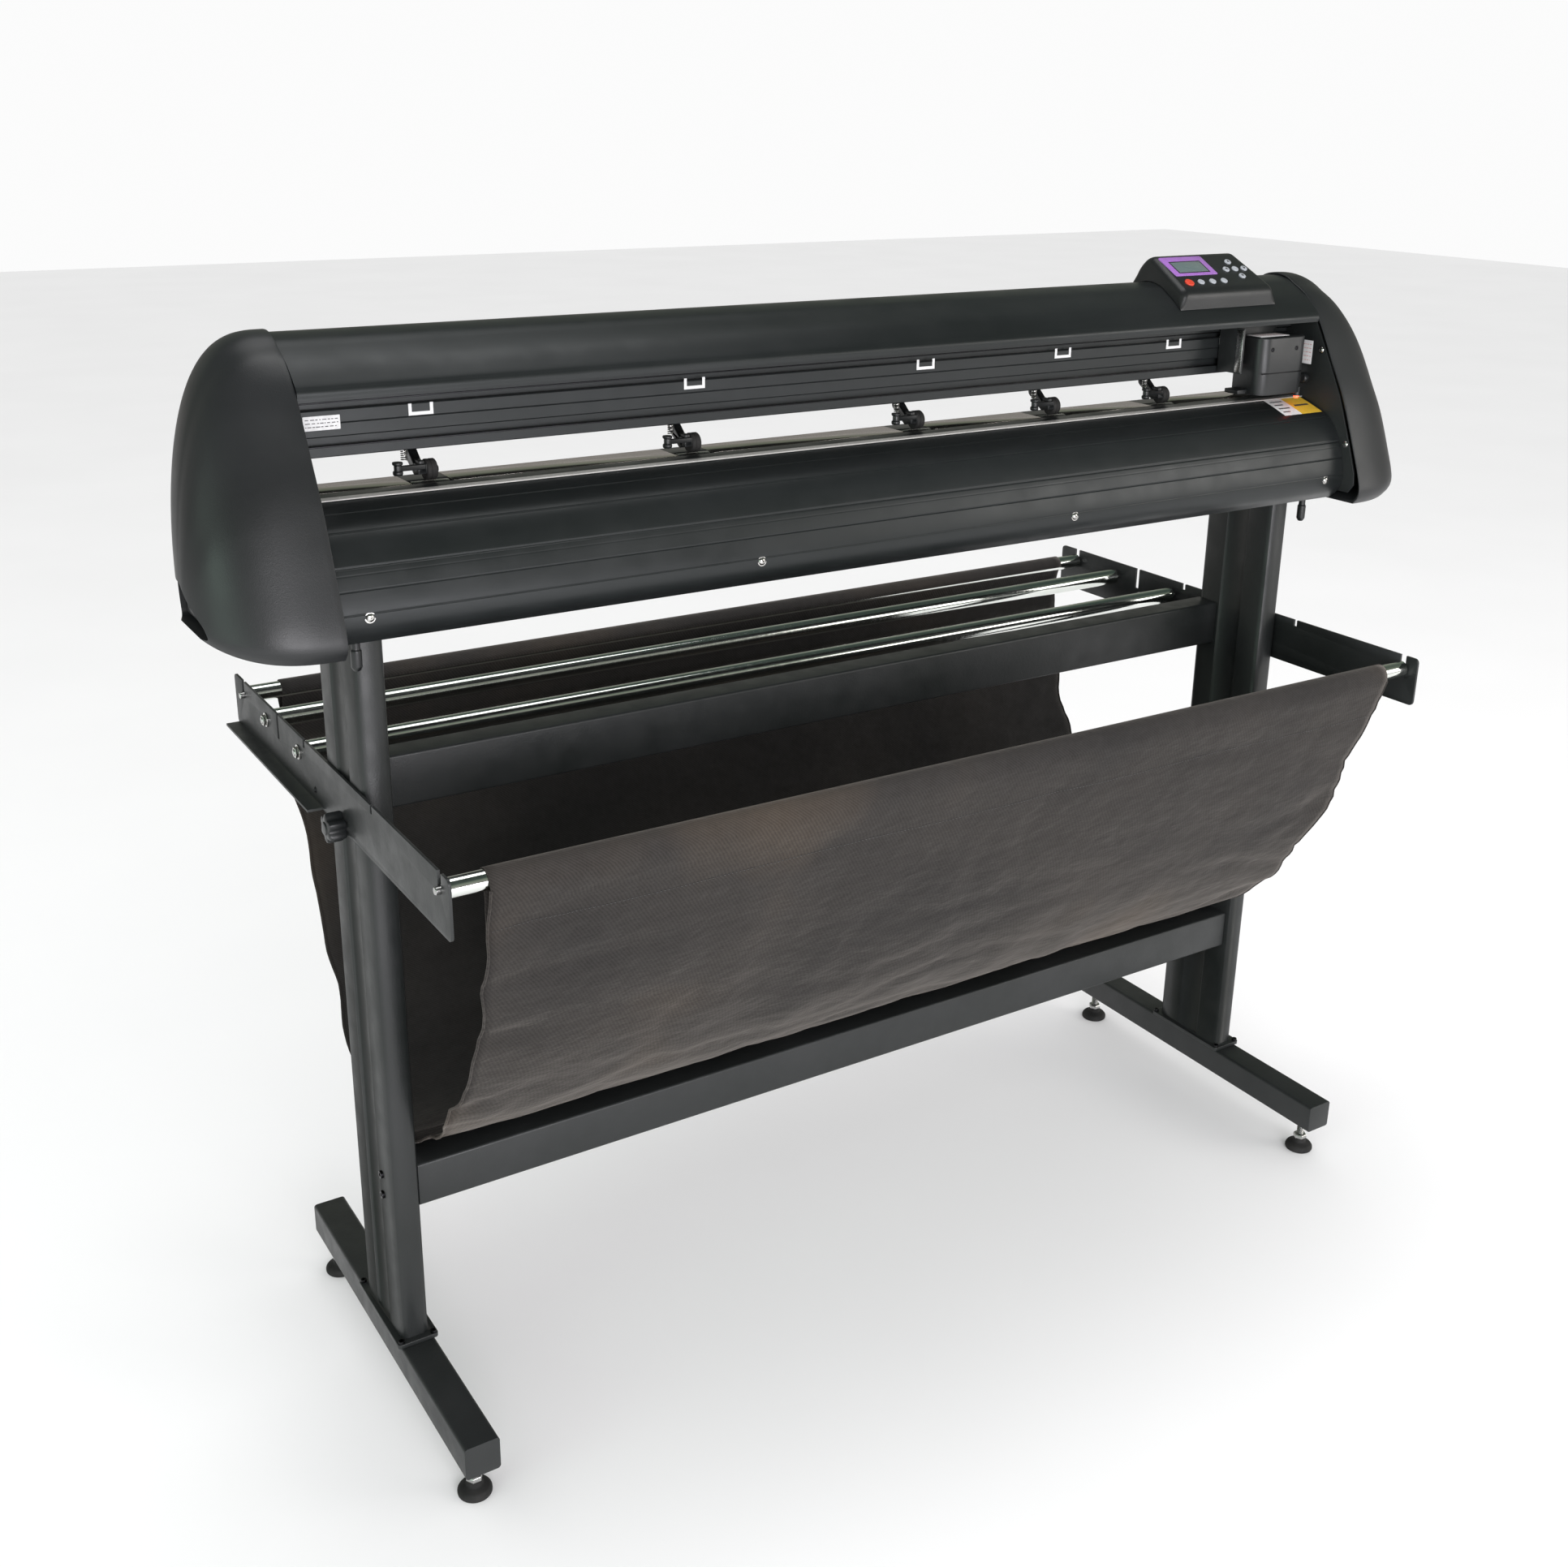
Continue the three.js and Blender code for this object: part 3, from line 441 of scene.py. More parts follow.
def bevelled(obj, width, segments=3, angle=30.0):
    """Rounds the convex edges sharper than angle, in the mesh itself."""
    def change(bm):
        edges = [e for e in bm.edges if len(e.link_faces) == 2 and e.is_convex
                 and e.calc_face_angle(0.0) > math.radians(angle)]
        bmesh.ops.bevel(
            bm, geom=edges, offset=width * MM, offset_type="OFFSET", segments=segments, profile=0.5,
            affect="EDGES", clamp_overlap=True,
        )

    edited(obj.data, change)
    smooth(obj, 50.0)
    return obj


def refined(node, material, width, body="frame", segments=3):
    """A CAD node's own shape with soft edges, which stands for that node."""
    bm = bmesh.new()
    bm.from_mesh(frame["nodes"][node].data)
    bmesh.ops.remove_doubles(bm, verts=bm.verts, dist=2e-6)
    bmesh.ops.dissolve_limit(bm, angle_limit=math.radians(1.0), verts=bm.verts, edges=bm.edges)
    mesh = bpy.data.meshes.new(f"{node}_fine")
    bm.to_mesh(mesh)
    bm.free()
    obj = bevelled(linked(f"{node}_fine", mesh), width, segments)
    finish_piece(obj, material, body, 50.0)
    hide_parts(node)
    return obj


def spline(points, count):
    """A smooth curve through points, as count points evenly spaced along it."""
    source = np.asarray(points, float)
    padded = np.vstack([2 * source[0] - source[1], source, 2 * source[-1] - source[-2]])
    fine = []
    for i in range(1, len(padded) - 2):
        p0, p1, p2, p3 = padded[i - 1:i + 3]
        for t in np.linspace(0, 1, 24, endpoint=False):
            fine.append(0.5 * (2 * p1 + (p2 - p0) * t + (2 * p0 - 5 * p1 + 4 * p2 - p3) * t ** 2
                               + (3 * p1 - p0 - 3 * p2 + p3) * t ** 3))
    fine.append(source[-1])
    return respaced(np.array(fine), count)


def running_length(line):
    """The length along a line, from its start to each of its points."""
    return np.r_[0, np.cumsum(np.linalg.norm(np.diff(line, axis=0), axis=1))]


def respaced(line, count):
    steps = running_length(line)
    wanted = np.linspace(0, steps[-1], count)
    return np.stack([np.interp(wanted, steps, line[:, k]) for k in range(line.shape[1])], axis=1)


def normals_of(line):
    """Unit normals to the left of a line's direction, in its own plane."""
    along = np.gradient(line, axis=0)
    along /= np.linalg.norm(along, axis=1)[:, None]
    return np.stack([-along[:, 1], along[:, 0]], axis=1)


def prism(name, section, x0, x1, material, **keys):
    """A closed (y, z) section swept along x, with flat ends."""
    points = [(x, y, z) for x in (x0, x1) for y, z in section]
    return mesh_piece(name, points, closed_rings(len(section), 2), material, **keys)


def block(name, low, high, material, round_by=0.8, segments=3, **keys):
    """A soft-edged box piece between two corners."""
    (xa, ya, za), (xb, yb, zb) = low, high
    obj = prism(name, [(ya, za), (yb, za), (yb, zb), (ya, zb)], xa, xb, material, **keys)
    return bevelled(obj, round_by, segments)


AXES = {"x": Vector((1, 0, 0)), "y": Vector((0, 1, 0)), "z": Vector((0, 0, 1))}


def lathe(name, profile, centre, axis, material, steps=40, sharp=35.0, turn=0.0, **keys):
    """Turns a profile of (radius, height) about an axis through centre. A radius of 0 closes the end."""
    direction = AXES[axis] if isinstance(axis, str) else Vector(axis).normalized()
    rotation = direction.to_track_quat("Z", "Y").to_matrix()
    points, faces, rings = [], [], []
    for radius, height in profile:
        if radius < 1e-6:
            rings.append([len(points)])
            points.append(tuple(Vector(centre) + rotation @ Vector((0, 0, height))))
            continue
        rings.append(list(range(len(points), len(points) + steps)))
        for i in range(steps):
            angle = turn + 2 * math.pi * i / steps
            offset = rotation @ Vector((radius * math.cos(angle), radius * math.sin(angle), height))
            points.append(tuple(Vector(centre) + offset))
    for a, b in zip(rings, rings[1:]):
        if len(a) == 1 and len(b) == 1:
            continue
        for i in range(steps):
            j = (i + 1) % steps
            if len(a) == 1:
                faces.append((a[0], b[j], b[i]))
            elif len(b) == 1:
                faces.append((a[i], a[j], b[0]))
            else:
                faces.append((a[i], a[j], b[j], b[i]))
    return mesh_piece(name, points, faces, material, sharp=sharp, **keys)


def softened(profile, radius, segments=4):
    """Rounds the inner corners of an open (radius, height) profile."""
    line = [np.array(p, float) for p in profile]
    out = [line[0]]
    for before, here, after in zip(line, line[1:], line[2:]):
        a, b = before - here, after - here
        la, lb = np.linalg.norm(a), np.linalg.norm(b)
        reach = min(radius, la * 0.45, lb * 0.45)
        if la < 1e-6 or lb < 1e-6:
            out.append(here)
            continue
        start, end = here + a / la * reach, here + b / lb * reach
        for t in np.linspace(0, 1, segments + 1):
            out.append((1 - t) ** 2 * start + 2 * t * (1 - t) * here + t ** 2 * end)
    out.append(line[-1])
    return [tuple(p) for p in out]


def tube_along(name, path, radius, material, steps=10, **keys):
    """A round solid along points in the columns' frame."""
    line = [Vector(p) for p in path]
    points = []
    side = Vector((0, 0, 1))
    for i, p in enumerate(line):
        along = (line[min(i + 1, len(line) - 1)] - line[max(i - 1, 0)]).normalized()
        side = (side - along * side.dot(along))
        side = side.normalized() if side.length > 1e-4 else along.orthogonal().normalized()
        across = along.cross(side)
        for k in range(steps):
            angle = 2 * math.pi * k / steps
            points.append(tuple(p + radius * (side * math.cos(angle) + across * math.sin(angle))))
    faces = bands(steps, len(line))
    faces += [tuple(range(steps - 1, -1, -1)), tuple(range(len(points) - steps, len(points)))]
    return mesh_piece(name, points, faces, material, **keys)


def dome_screw(name, centre, axis, radius=4.2, material="screw", height=2.2, recess=True, **keys):
    """A domed screw head with a round recess, on a thin washer."""
    dome = [(radius * math.cos(t), height * math.sin(t)) for t in np.linspace(0, math.pi / 2, 8)][:-1]
    profile = [(radius * 1.25, -0.4), (radius * 1.25, 0.3), (radius, 0.35), *dome[1:]]
    if recess:
        profile += [(radius * 0.42, height * 0.93), (radius * 0.30, height * 0.35), (0, height * 0.30)]
    else:
        profile += [(0, height)]
    return lathe(name, profile, centre, axis, material, 24, 40.0, **keys)


def cap_screw(name, centre, axis, radius=4.0, height=4.0, material="black_screw", **keys):
    """A socket cap screw: a short drum with a round socket."""
    profile = softened([(radius, -0.3), (radius, height), (radius * 0.5, height)], 0.5)
    profile += [(radius * 0.5, height * 0.4), (0, height * 0.35)]
    return lathe(name, profile, centre, axis, material, 24, 40.0, **keys)


def hex_nut(name, centre, axis, radius, height, material="screw", **keys):
    bore = radius * 0.63
    profile = [(bore, 0), (radius * 0.92, 0), (radius, height * 0.18), (radius, height * 0.82),
               (radius * 0.92, height), (bore, height), (bore, 0)]
    return lathe(name, profile, centre, axis, material, 6, 25.0, **keys)


# ---------------------------------------------------------------- stand
COLUMN_X, COLUMN_OUTER_X, BRACKET_OUTER_X = 639.8, 656.2, 660.0
ROLLER_Z, ROD_Z, KNOB_Z = 742.0, 745.0, 708.0
FRONT_ROLLER_Y, REAR_ROLLER_Y = 146.0, 268.0
FRONT_ROD, REAR_ROD = (-275.0, ROD_Z), (360.0, ROD_Z)

for side, sign in SIDES:
    refined(f"{side}_foot_beam", "powder", 1.4)
    refined(f"{side}_column", "powder", 0.9)
    refined(f"{side}_media_bracket", "powder", 0.7)
    column_x = COLUMN_X * sign
    outer_x = COLUMN_OUTER_X * sign
    bracket_x = BRACKET_OUTER_X * sign
    # base plate bolts, front and rear
    for y in (-64.0, 64.0):
        for dx in (-19.0, 19.0):
            cap_screw(f"{side}_base_bolt_{'f' if y < 0 else 'r'}{'i' if dx * sign < 0 else 'o'}",
                      (column_x + dx, y, 92.0), "z", 3.6, 3.4)
    # the lower crossbar's bolts, through the outside of each column
    for label, y, z in (("lower_a", -30.0, 270.0), ("lower_b", -30.0, 296.0)):
        cap_screw(f"{side}_{label}_bolt", (outer_x, y, z), (sign, 0, 0), 4.6, 3.0)
    # bracket fastenings: roller axle washers and a small screw
    for label, y in (("front_axle", FRONT_ROLLER_Y), ("rear_axle", REAR_ROLLER_Y)):
        lathe(f"{side}_{label}_washer", softened([(4.2, 0.0), (8.6, 0.0), (8.6, 1.4), (4.2, 1.4)], 0.3),
              (bracket_x, y, ROLLER_Z), (sign, 0, 0), "screw", 32)
        hex_nut(f"{side}_{label}_nut", (bracket_x + 1.4 * sign, y, ROLLER_Z), (sign, 0, 0), 6.6, 3.6)
    dome_screw(f"{side}_bracket_screw", (bracket_x, 92.0, 716.0), (sign, 0, 0), 3.2, "black_screw", 1.8)
    # pegs that hang under the head beside the columns
    peg_x = -653.0 if sign < 0 else 680.0
    lathe(f"{side}_head_peg",
          softened([(0, 894), (3.2, 894), (5.6, 898), (5.6, 915), (4.4, 917), (4.4, 934.0)], 1.2),
          (peg_x, -60.0, 0.0), "z", "dark_plastic", 24)

for bar in ("lower_crossbar", "upper_crossbar"):
    refined(bar, "powder", 1.6)

PAD = softened([(0, 0), (18.4, 0), (19.0, 1.2), (19.0, 5.0), (16.5, 8.4), (9.5, 11.5), (8.4, 14.2),
                (7.6, 17.0), (0, 17.0)], 1.4)
THREAD_PITCH, THREAD_TURNS = 1.6, 14

for side, sign in SIDES:
    for end, y in (("front", -222), ("rear", 222)):
        node = f"{side}_{end}_leveling_foot"
        body = f"{node}_body"
        centre = (COLUMN_X * sign, y, 0)
        pad = lathe(f"{node}_pad", PAD, centre, "z", "rubber", 48, body=body, slot=SLOT_OF[node])
        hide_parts(node)
        hex_nut(f"{node}_nut", (centre[0], centre[1], 17.0), "z", 9.4, 6.0, "steel", body=body)
        thread_line = [(0, 22.8)]
        for i in range(THREAD_TURNS):
            thread_line += [(4.35, 23.0 + i * THREAD_PITCH), (5.0, 23.8 + i * THREAD_PITCH)]
        thread_line += [(4.35, 45.5), (0, 45.6)]
        lathe(f"{node}_stem", thread_line, centre, "z", "steel", 24, 60.0, body=body)
        hex_nut(f"{node}_lock_nut", (centre[0], centre[1], 40.4), "z", 9.4, 5.2, "steel")


def lobed_knob(side, sign):
    """A hand knob with six soft lobes and a raised hub."""
    steps = 96
    rings = [(0.0, 0.55), (0.4, 0.93), (2.2, 1.0), (15.5, 1.0), (18.2, 0.94), (19.2, 0.80), (19.2, 0.52),
             (20.6, 0.46), (20.8, 0.40)]
    points = []
    for depth, scale in rings:
        for i in range(steps):
            angle = 2 * math.pi * i / steps
            lobe = 14.8 + 2.2 * math.cos(6 * angle + math.pi)
            radius = scale * (lobe if scale > 0.6 else 15.0)
            points.append((sign * (661 + depth), radius * math.cos(angle), KNOB_Z + radius * math.sin(angle)))
    faces = closed_rings(steps, len(rings))
    body = f"{side}_knob"
    grip = mesh_piece(f"{side}_knob_grip", points, faces, "dark_plastic", body=body, sharp=40.0)
    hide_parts(f"{side}_bracket_knob")
    stem = [(0, 0), (3, 0), (3, 7), (0, 7)]
    lathe(f"{side}_knob_stem", stem, (654.4 * sign, 0, KNOB_Z), (sign, 0, 0), "steel", 20, body=body)


for side, sign in SIDES:
    lobed_knob(side, sign)


def chrome_tube(node, body, radius, tube_half, y, z):
    """A polished tube with rolled ends, closed by inset plugs on its stub axles."""
    low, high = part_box(node)
    x0, x1 = low.x / MM, high.x / MM
    half = (x1 - x0) / 2
    profile = [(0, -tube_half + 2.0), (radius - 2.0, -tube_half + 2.0), (radius - 1.6, -tube_half),
               (radius - 0.5, -tube_half), (radius, -tube_half + 0.8)]
    profile = profile + [(r, -h) for r, h in reversed(profile)]
    made = lathe(f"{node}_tube", profile, (0, y, z), "x", "chrome", 64, 30.0, body=body, slot=SLOT_OF[node])
    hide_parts(node)
    if half > tube_half + 1:
        stub = [(0, -half), (3.4, -half), (4.0, -half + 0.8), (4.0, -tube_half + 3)]
        stub = stub + [(r, -h) for r, h in reversed(stub)]
        lathe(f"{node}_axle", stub, (0, y, z), "x", "steel", 24, 30.0, body=body)


chrome_tube("front_bag_rod", "frame", 10.5, 655.8, *FRONT_ROD)
chrome_tube("rear_bag_rod", "frame", 10.5, 655.8, *REAR_ROD)
chrome_tube("front_media_roller", "front_roller", 11.5, 651.0, FRONT_ROLLER_Y, ROLLER_Z)
chrome_tube("rear_media_roller", "rear_roller", 11.5, 651.0, REAR_ROLLER_Y, ROLLER_Z)


# ---------------------------------------------------------------- head: covers, beam, platen
def skin(points, count, grooves):
    """A sheet's closed section: its outer line with fine grooves, and its inner line."""
    outer = spline(points, count)
    normal = normals_of(outer)
    middle = outer.mean(axis=0)
    if ((outer - middle) * normal).sum() < 0:
        normal = -normal
    cut = outer.copy()
    for (gy, gz), depth, width in grooves:
        away = np.hypot(outer[:, 0] - gy, outer[:, 1] - gz)
        share = np.clip(1 - away / width, 0, 1)
        cut -= normal * (depth * share)[:, None]
    inner = outer - normal * SHEET
    return [tuple(p) for p in cut] + [tuple(p) for p in inner[::-1]]


SHEET = 2.4  # wall of the aprons and the cover
APRON_FRONT = [(-29.5, 1059.8), (-57, 1051), (-84, 1039), (-103, 1015), (-113, 988), (-117, 965), (-113, 948),
               (-101, 935)]
APRON_GROOVES = [
    ((-54.9, 1051.7), 0.5, 1.2), ((-82.7, 1039.6), 0.6, 1.3), ((-104.6, 1010.2), 1.5, 1.8),
    ((-107.2, 1003.5), 0.8, 1.2), ((-112.5, 989.4), 0.7, 1.1), ((-116.6, 967.3), 0.7, 1.1),
    ((-114.4, 954.0), 0.5, 1.0),
]
APRON_REAR = [(51.4, 1059.6), (62, 1047), (71, 1026), (78, 1000), (82, 970), (82, 950), (77, 936)]
COVER = [(-47, 1161), (-46.5, 1169), (-37, 1179), (-21, 1192), (0, 1204), (15.6, 1211.5), (36, 1215),
         (57, 1211), (71, 1200), (80, 1178), (84, 1150), (84, 1122)]

for node, line, count, grooves in (
    ("front_apron", APRON_FRONT, 300, APRON_GROOVES),
    ("rear_apron", APRON_REAR, 200, [((80.5, 985.0), 0.7, 1.2), ((67.0, 1036.0), 0.7, 1.2)]),
    ("top_cover", COVER, 220, [((-45.5, 1171.5), 0.5, 1.0), ((70.0, 1201.0), 0.6, 1.3)]),
):
    shell = prism(f"{node}_shell", skin(line, count, grooves), -HEAD_HALF, HEAD_HALF, "extrusion", sharp=28.0)
    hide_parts(node)
# the folded lip along the cover's front edge
block("cover_front_lip", (-HEAD_HALF, -46.6, 1160.9), (HEAD_HALF, -38.5, 1162.6), "extrusion", 0.5, 2)

refined("chassis_pan", "powder", 0.5)
for side, _ in SIDES:
    refined(f"{side}_side_plate", "powder", 0.4)


def beam_section():
    front = []
    for low, high in ((1107.0, 1115.5), (1142.5, 1149.0)):
        front += [(0, low - 1.2), (0.9, low), (7, low), (7, high), (0.9, high), (0, high + 1.2)]
    line = [(0, 1096.9), (0.9, 1096), (44.1, 1096), (45, 1096.9), (45, 1159.1), (44.1, 1160), (0.9, 1160),
            (0, 1159.1)]
    groove = [(0, 1128.2), (0.6, 1129.0), (0, 1129.8)]
    upward = line[:1] + front[:6] + groove + front[6:] + [line[-1]]
    return upward + line[1:-1][::-1]


beam = prism("guide_beam_extrusion", beam_section(), -HEAD_HALF, HEAD_HALF, "extrusion", sharp=28.0)
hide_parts("guide_beam")
for z in (1106.4, 1149.4):
    low, high = (-HEAD_HALF, -0.9, z - 0.7), (HEAD_HALF, 1.2, z + 0.7)
    block(f"beam_rail_{int(z)}", low, high, "black_screw", 0.4, 2, slot="steel")

STATIONS = [-540, -233, 73, 284, 470]  # the pinch wheels along x
refined("platen", "extrusion", 0.4)


def bed_strip(name, y0, y1, z, material, thick=0.5):
    """A thin strip on the platen, with a gap at each grit sleeve."""
    edges = [-HEAD_HALF] + [x + s for x in STATIONS for s in (-22.6, 22.6)] + [HEAD_HALF]
    for i in range(0, len(edges), 2):
        block(f"{name}_{i // 2 + 1}", (edges[i], y0, z - thick), (edges[i + 1], y1, z), material, 0.2, 1)


# The rear strip's bright brown-grey is painted reflection; the gaps at the grit sleeves are real.
bed_strip("bed_rear_strip", 3.0, 48.5, 1060.3, "bed")
# A light grey strip as painted highlight along the bed's rounded front edge.
block("bed_front_highlight_strip", (-HEAD_HALF, -33.0, 1059.4), (HEAD_HALF, -19.5, 1060.7), "strip", 0.5, 2)

# ---------------------------------------------------------------- end caps
CAP_PROFILE = [
    (-138, 932), (-147, 944), (-145, 962), (-131, 1000), (-104, 1066), (-79, 1111), (-47, 1165), (-21, 1193),
    (3, 1207), (18, 1215), (37, 1218), (57, 1214), (72, 1202), (83, 1180), (88, 1148), (89.5, 1100),
    (89, 1040), (85, 975), (78, 932),
]
CAP_CENTRE = np.array([-60.0, 969.0])
CAP_X0, CAP_X1 = 687.7, 813.7
INNER_RING_X = 732.0  # how far the inner wall reaches before it would come through the shell
BEND_X0, BEND_ALONG, BEND_ACROSS = 694.0, 2.64, 1.62  # where the rounding starts, and its two powers


def cap_outline(count):
    """The end cap's side profile, with the bottom closed by a straight run and soft corners."""
    outline = spline(CAP_PROFILE, count * 3 // 4)
    bottom = np.linspace(outline[-1], outline[0], count // 4 + 2)[1:-1]
    return np.vstack([outline, bottom])


def cap_ring(outline, t):
    """The cap's outline at share t of its rounded depth."""
    scale = max(0.0, 1 - t ** BEND_ALONG) ** (1 / BEND_ACROSS)
    return BEND_X0 + (CAP_X1 - BEND_X0) * t, CAP_CENTRE + (outline - CAP_CENTRE) * scale


def end_cap(side, sign):
    """One smooth moulded shell, with a rolled rim and an inner wall towards the side plate."""
    outline = cap_outline(192)
    total = len(outline)
    middle = outline.mean(axis=0)
    inward = (middle - outline) / np.linalg.norm(middle - outline, axis=1)[:, None]
    steps = np.sin(np.linspace(0, math.pi / 2, 48)[:-1])
    rolled = ((INNER_RING_X, 26), (CAP_X0 + 0.4, 2.8), (CAP_X0, 1.0), (CAP_X0 + 0.3, 0.3))
    rings = [(x, outline + inward * depth) for x, depth in rolled] + [(CAP_X0 + 1.2, outline)]
    rings += [cap_ring(outline, t) for t in steps]
    points = [(sign * x, y, z) for x, ring in rings for y, z in ring]
    faces = bands(total, len(rings))
    last = (len(rings) - 1) * total
    faces += [(last + k, last + (k + 1) % total, len(points)) for k in range(total)]
    points.append((sign * CAP_X1, *CAP_CENTRE))
    made = mesh_piece(f"{side}_end_cap_shell", points, faces, "plastic", sharp=60.0)
    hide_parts(f"{side}_end_cap")
    return made


end_cap("right", 1)
left_cap = end_cap("left", -1)


BAY_OUTLINE = [(-98, 957), (2, 957), (2, 1003), (-50, 1003), (-92, 968)]
BAY_FLOOR = -782.0


def rounded_outline(corners, radius, steps=6):
    """A polygon with round corners."""
    ring = softened([corners[-1], *corners, corners[0]], radius, steps)[1:-1]
    return np.array(ring)


def cutter_of(name, points, faces):
    """A closed body to cut with."""
    mesh = bpy.data.meshes.new(name)
    mesh.from_pydata(points, [], faces)
    edited(mesh, face_outwards)
    return linked(name, mesh)


def cut_away(piece, cutter):
    """Takes a cutter's volume out of a piece's mesh, and removes the cutter."""
    cut = piece.modifiers.new("cut", "BOOLEAN")
    cut.operation = "DIFFERENCE"
    cut.solver = "EXACT"
    cut.object = cutter
    baked = bpy.data.meshes.new_from_object(piece.evaluated_get(bpy.context.evaluated_depsgraph_get()))
    piece.modifiers.clear()
    piece.data = baked
    bpy.data.objects.remove(cutter)


def close_rim(bm):
    """Closes the open inner edge, so that a cut leaves walls behind."""
    bmesh.ops.holes_fill(bm, edges=[e for e in bm.edges if e.is_boundary], sides=0)


def cut_port_bay(cap):
    """Sinks the port bay into the left cap."""
    outline = rounded_outline(BAY_OUTLINE, 7.0)
    points = [at(x, y, z) for x in (BAY_FLOOR, -860.0) for y, z in outline]
    cutter = cutter_of("bay_cutter", points, closed_rings(len(outline), 2))
    edited(cap.data, close_rim, face_outwards)
    cut_away(cap, cutter)
    smooth(cap, 40.0)


cut_port_bay(left_cap)

# ---------------------------------------------------------------- fastenings and marks on the head
for i, x in enumerate((-655.0, -220.0, 220.0, 655.0)):
    dome_screw(f"apron_screw_{i + 1}", (x, -116.6, 963.5), (0, -1, 0.03), 4.4, "screw", 2.6)
    dome_screw(f"rear_apron_screw_{i + 1}", (x, 82.0, 962.0), (0, 1, 0), 4.4, "screw", 2.4)
for side, sign in SIDES:
    inner = (-sign, 0, 0)
    for label, y, z in (("upper", -57.0, 1125.0), ("lower", -115.0, 1008.0)):
        dome_screw(f"{side}_wall_screw_{label}", (687.9 * sign, y, z), inner, 3.8, "screw", 2.2)
    lathe(f"{side}_wall_button", softened([(7.5, -0.2), (7.5, 3.0), (6.0, 6.2), (0, 6.8)], 1.6),
          (687.8 * sign, -33.0, 1085.0), inner, "dark_plastic", 36)


def plate(name, outline, place, low, high, material, edge=0.3, **keys):
    """A flat plate with a chamfered rim. place maps (across, up, out) to a point."""
    ring = np.asarray(outline, float)
    middle = ring.mean(axis=0)
    away = ring - middle
    reach = np.linalg.norm(away, axis=1)[:, None]
    levels = [(0.0, low), (0.0, high - edge), (edge * 0.35, high - edge * 0.3), (edge, high)]
    points = [place(a, b, h) for inset, h in levels for a, b in middle + away * (1 - inset / reach)]
    count = len(ring)
    faces = bands(count, len(levels))
    faces += [tuple(range(count)), tuple(range(len(points) - count, len(points)))]
    return mesh_piece(name, points, faces, material, **keys)


def rectangle(a0, a1, b0, b1, radius=0.6, steps=4):
    return rounded_outline([(a0, b0), (a1, b0), (a1, b1), (a0, b1)], radius, steps)


def on_beam(x, z, out):
    return x, -out, z


def on_right_wall(y, z, out):
    return 687.6 - out, y, z


def alignment_mark(index, x, z):
    """A white open-topped square that shows where a pinch wheel may stand."""
    corners = [(-13, -6), (13, -6), (13, 6), (9.6, 6), (9.6, -2.6), (-9.6, -2.6), (-9.6, 6), (-13, 6)]
    points = [on_beam(x + a, z + b, h) for h in (0.0, 0.35) for a, b in corners]
    mesh_piece(f"alignment_mark_{index}", points, closed_rings(len(corners), 2), "white")


for i, x in enumerate((-550.0, -237.0, 75.0, 286.0, 473.0, 568.0)):
    alignment_mark(i + 1, x, 1136.0 if i == 0 else 1139.0)


def striped_label(name, place, a0, a1, b0, b1, rows, stripe="ink", **keys):
    """A plain label with rows of small dashes that spell nothing."""
    plate(name, rectangle(a0, a1, b0, b1), place, 0.0, 0.35, "white", 0.1, **keys)
    pitch = (b1 - b0) / (rows + 1)
    for row in range(rows):
        b = b1 - pitch * (row + 1)
        a = a0 + 2.0
        index = 0
        while a < a1 - 3.0:
            length = float(RNG.uniform(1.2, 5.0))
            end = min(a + length, a1 - 2.0)
            dash = rectangle(a, end, b - 0.45, b + 0.45, 0.1, 1)
            plate(f"{name}_dash_{row}_{index}", dash, place, 0.2, 0.42, stripe, 0.05, **keys)
            a = end + float(RNG.uniform(0.8, 1.8))
            index += 1


striped_label("beam_label", on_beam, -670.0, -633.0, 1123.0, 1137.0, 3)
striped_label("wall_label", on_right_wall, -42.0, -16.0, 1104.0, 1135.0, 5, "pink")

APRON_LINE = spline(APRON_FRONT, 300)
APRON_STEPS = running_length(APRON_LINE)


def on_apron(x, along, out):
    """A point on the front apron, along millimetres from its upper edge."""
    y = np.interp(along, APRON_STEPS, APRON_LINE[:, 0])
    z = np.interp(along, APRON_STEPS, APRON_LINE[:, 1])
    dy = np.interp(along + 1, APRON_STEPS, APRON_LINE[:, 0]) - y
    dz = np.interp(along + 1, APRON_STEPS, APRON_LINE[:, 1]) - z
    size = math.hypot(dy, dz) or 1.0
    return x, y + out * dz / size, z - out * dy / size


def apron_sticker(name, x0, x1, a0, a1, material, out=0.35):
    """A thin sheet that follows the apron's curve."""
    columns, rows = 6, 12
    points = [on_apron(x0 + (x1 - x0) * i / columns, a0 + (a1 - a0) * j / rows, out)
              for j in range(rows + 1) for i in range(columns + 1)]
    mesh_piece(name, points, sheet_faces(rows + 1, columns + 1), material)


apron_sticker("apron_sticker_white", 614.0, 646.0, 3.0, 46.0, "white")
apron_sticker("apron_sticker_yellow", 646.0, 684.0, 3.0, 46.0, "yellow")
for i, length in enumerate((22.0, 16.0, 20.0, 13.0)):
    top = 9.0 + i * 9.0
    apron_sticker(f"apron_sticker_dash_{i}", 619.0, 619.0 + length, top, top + 2.5, "ink", 0.5)
apron_sticker("apron_sticker_bar", 652.0, 678.0, 22.0, 26.0, "ink", 0.5)

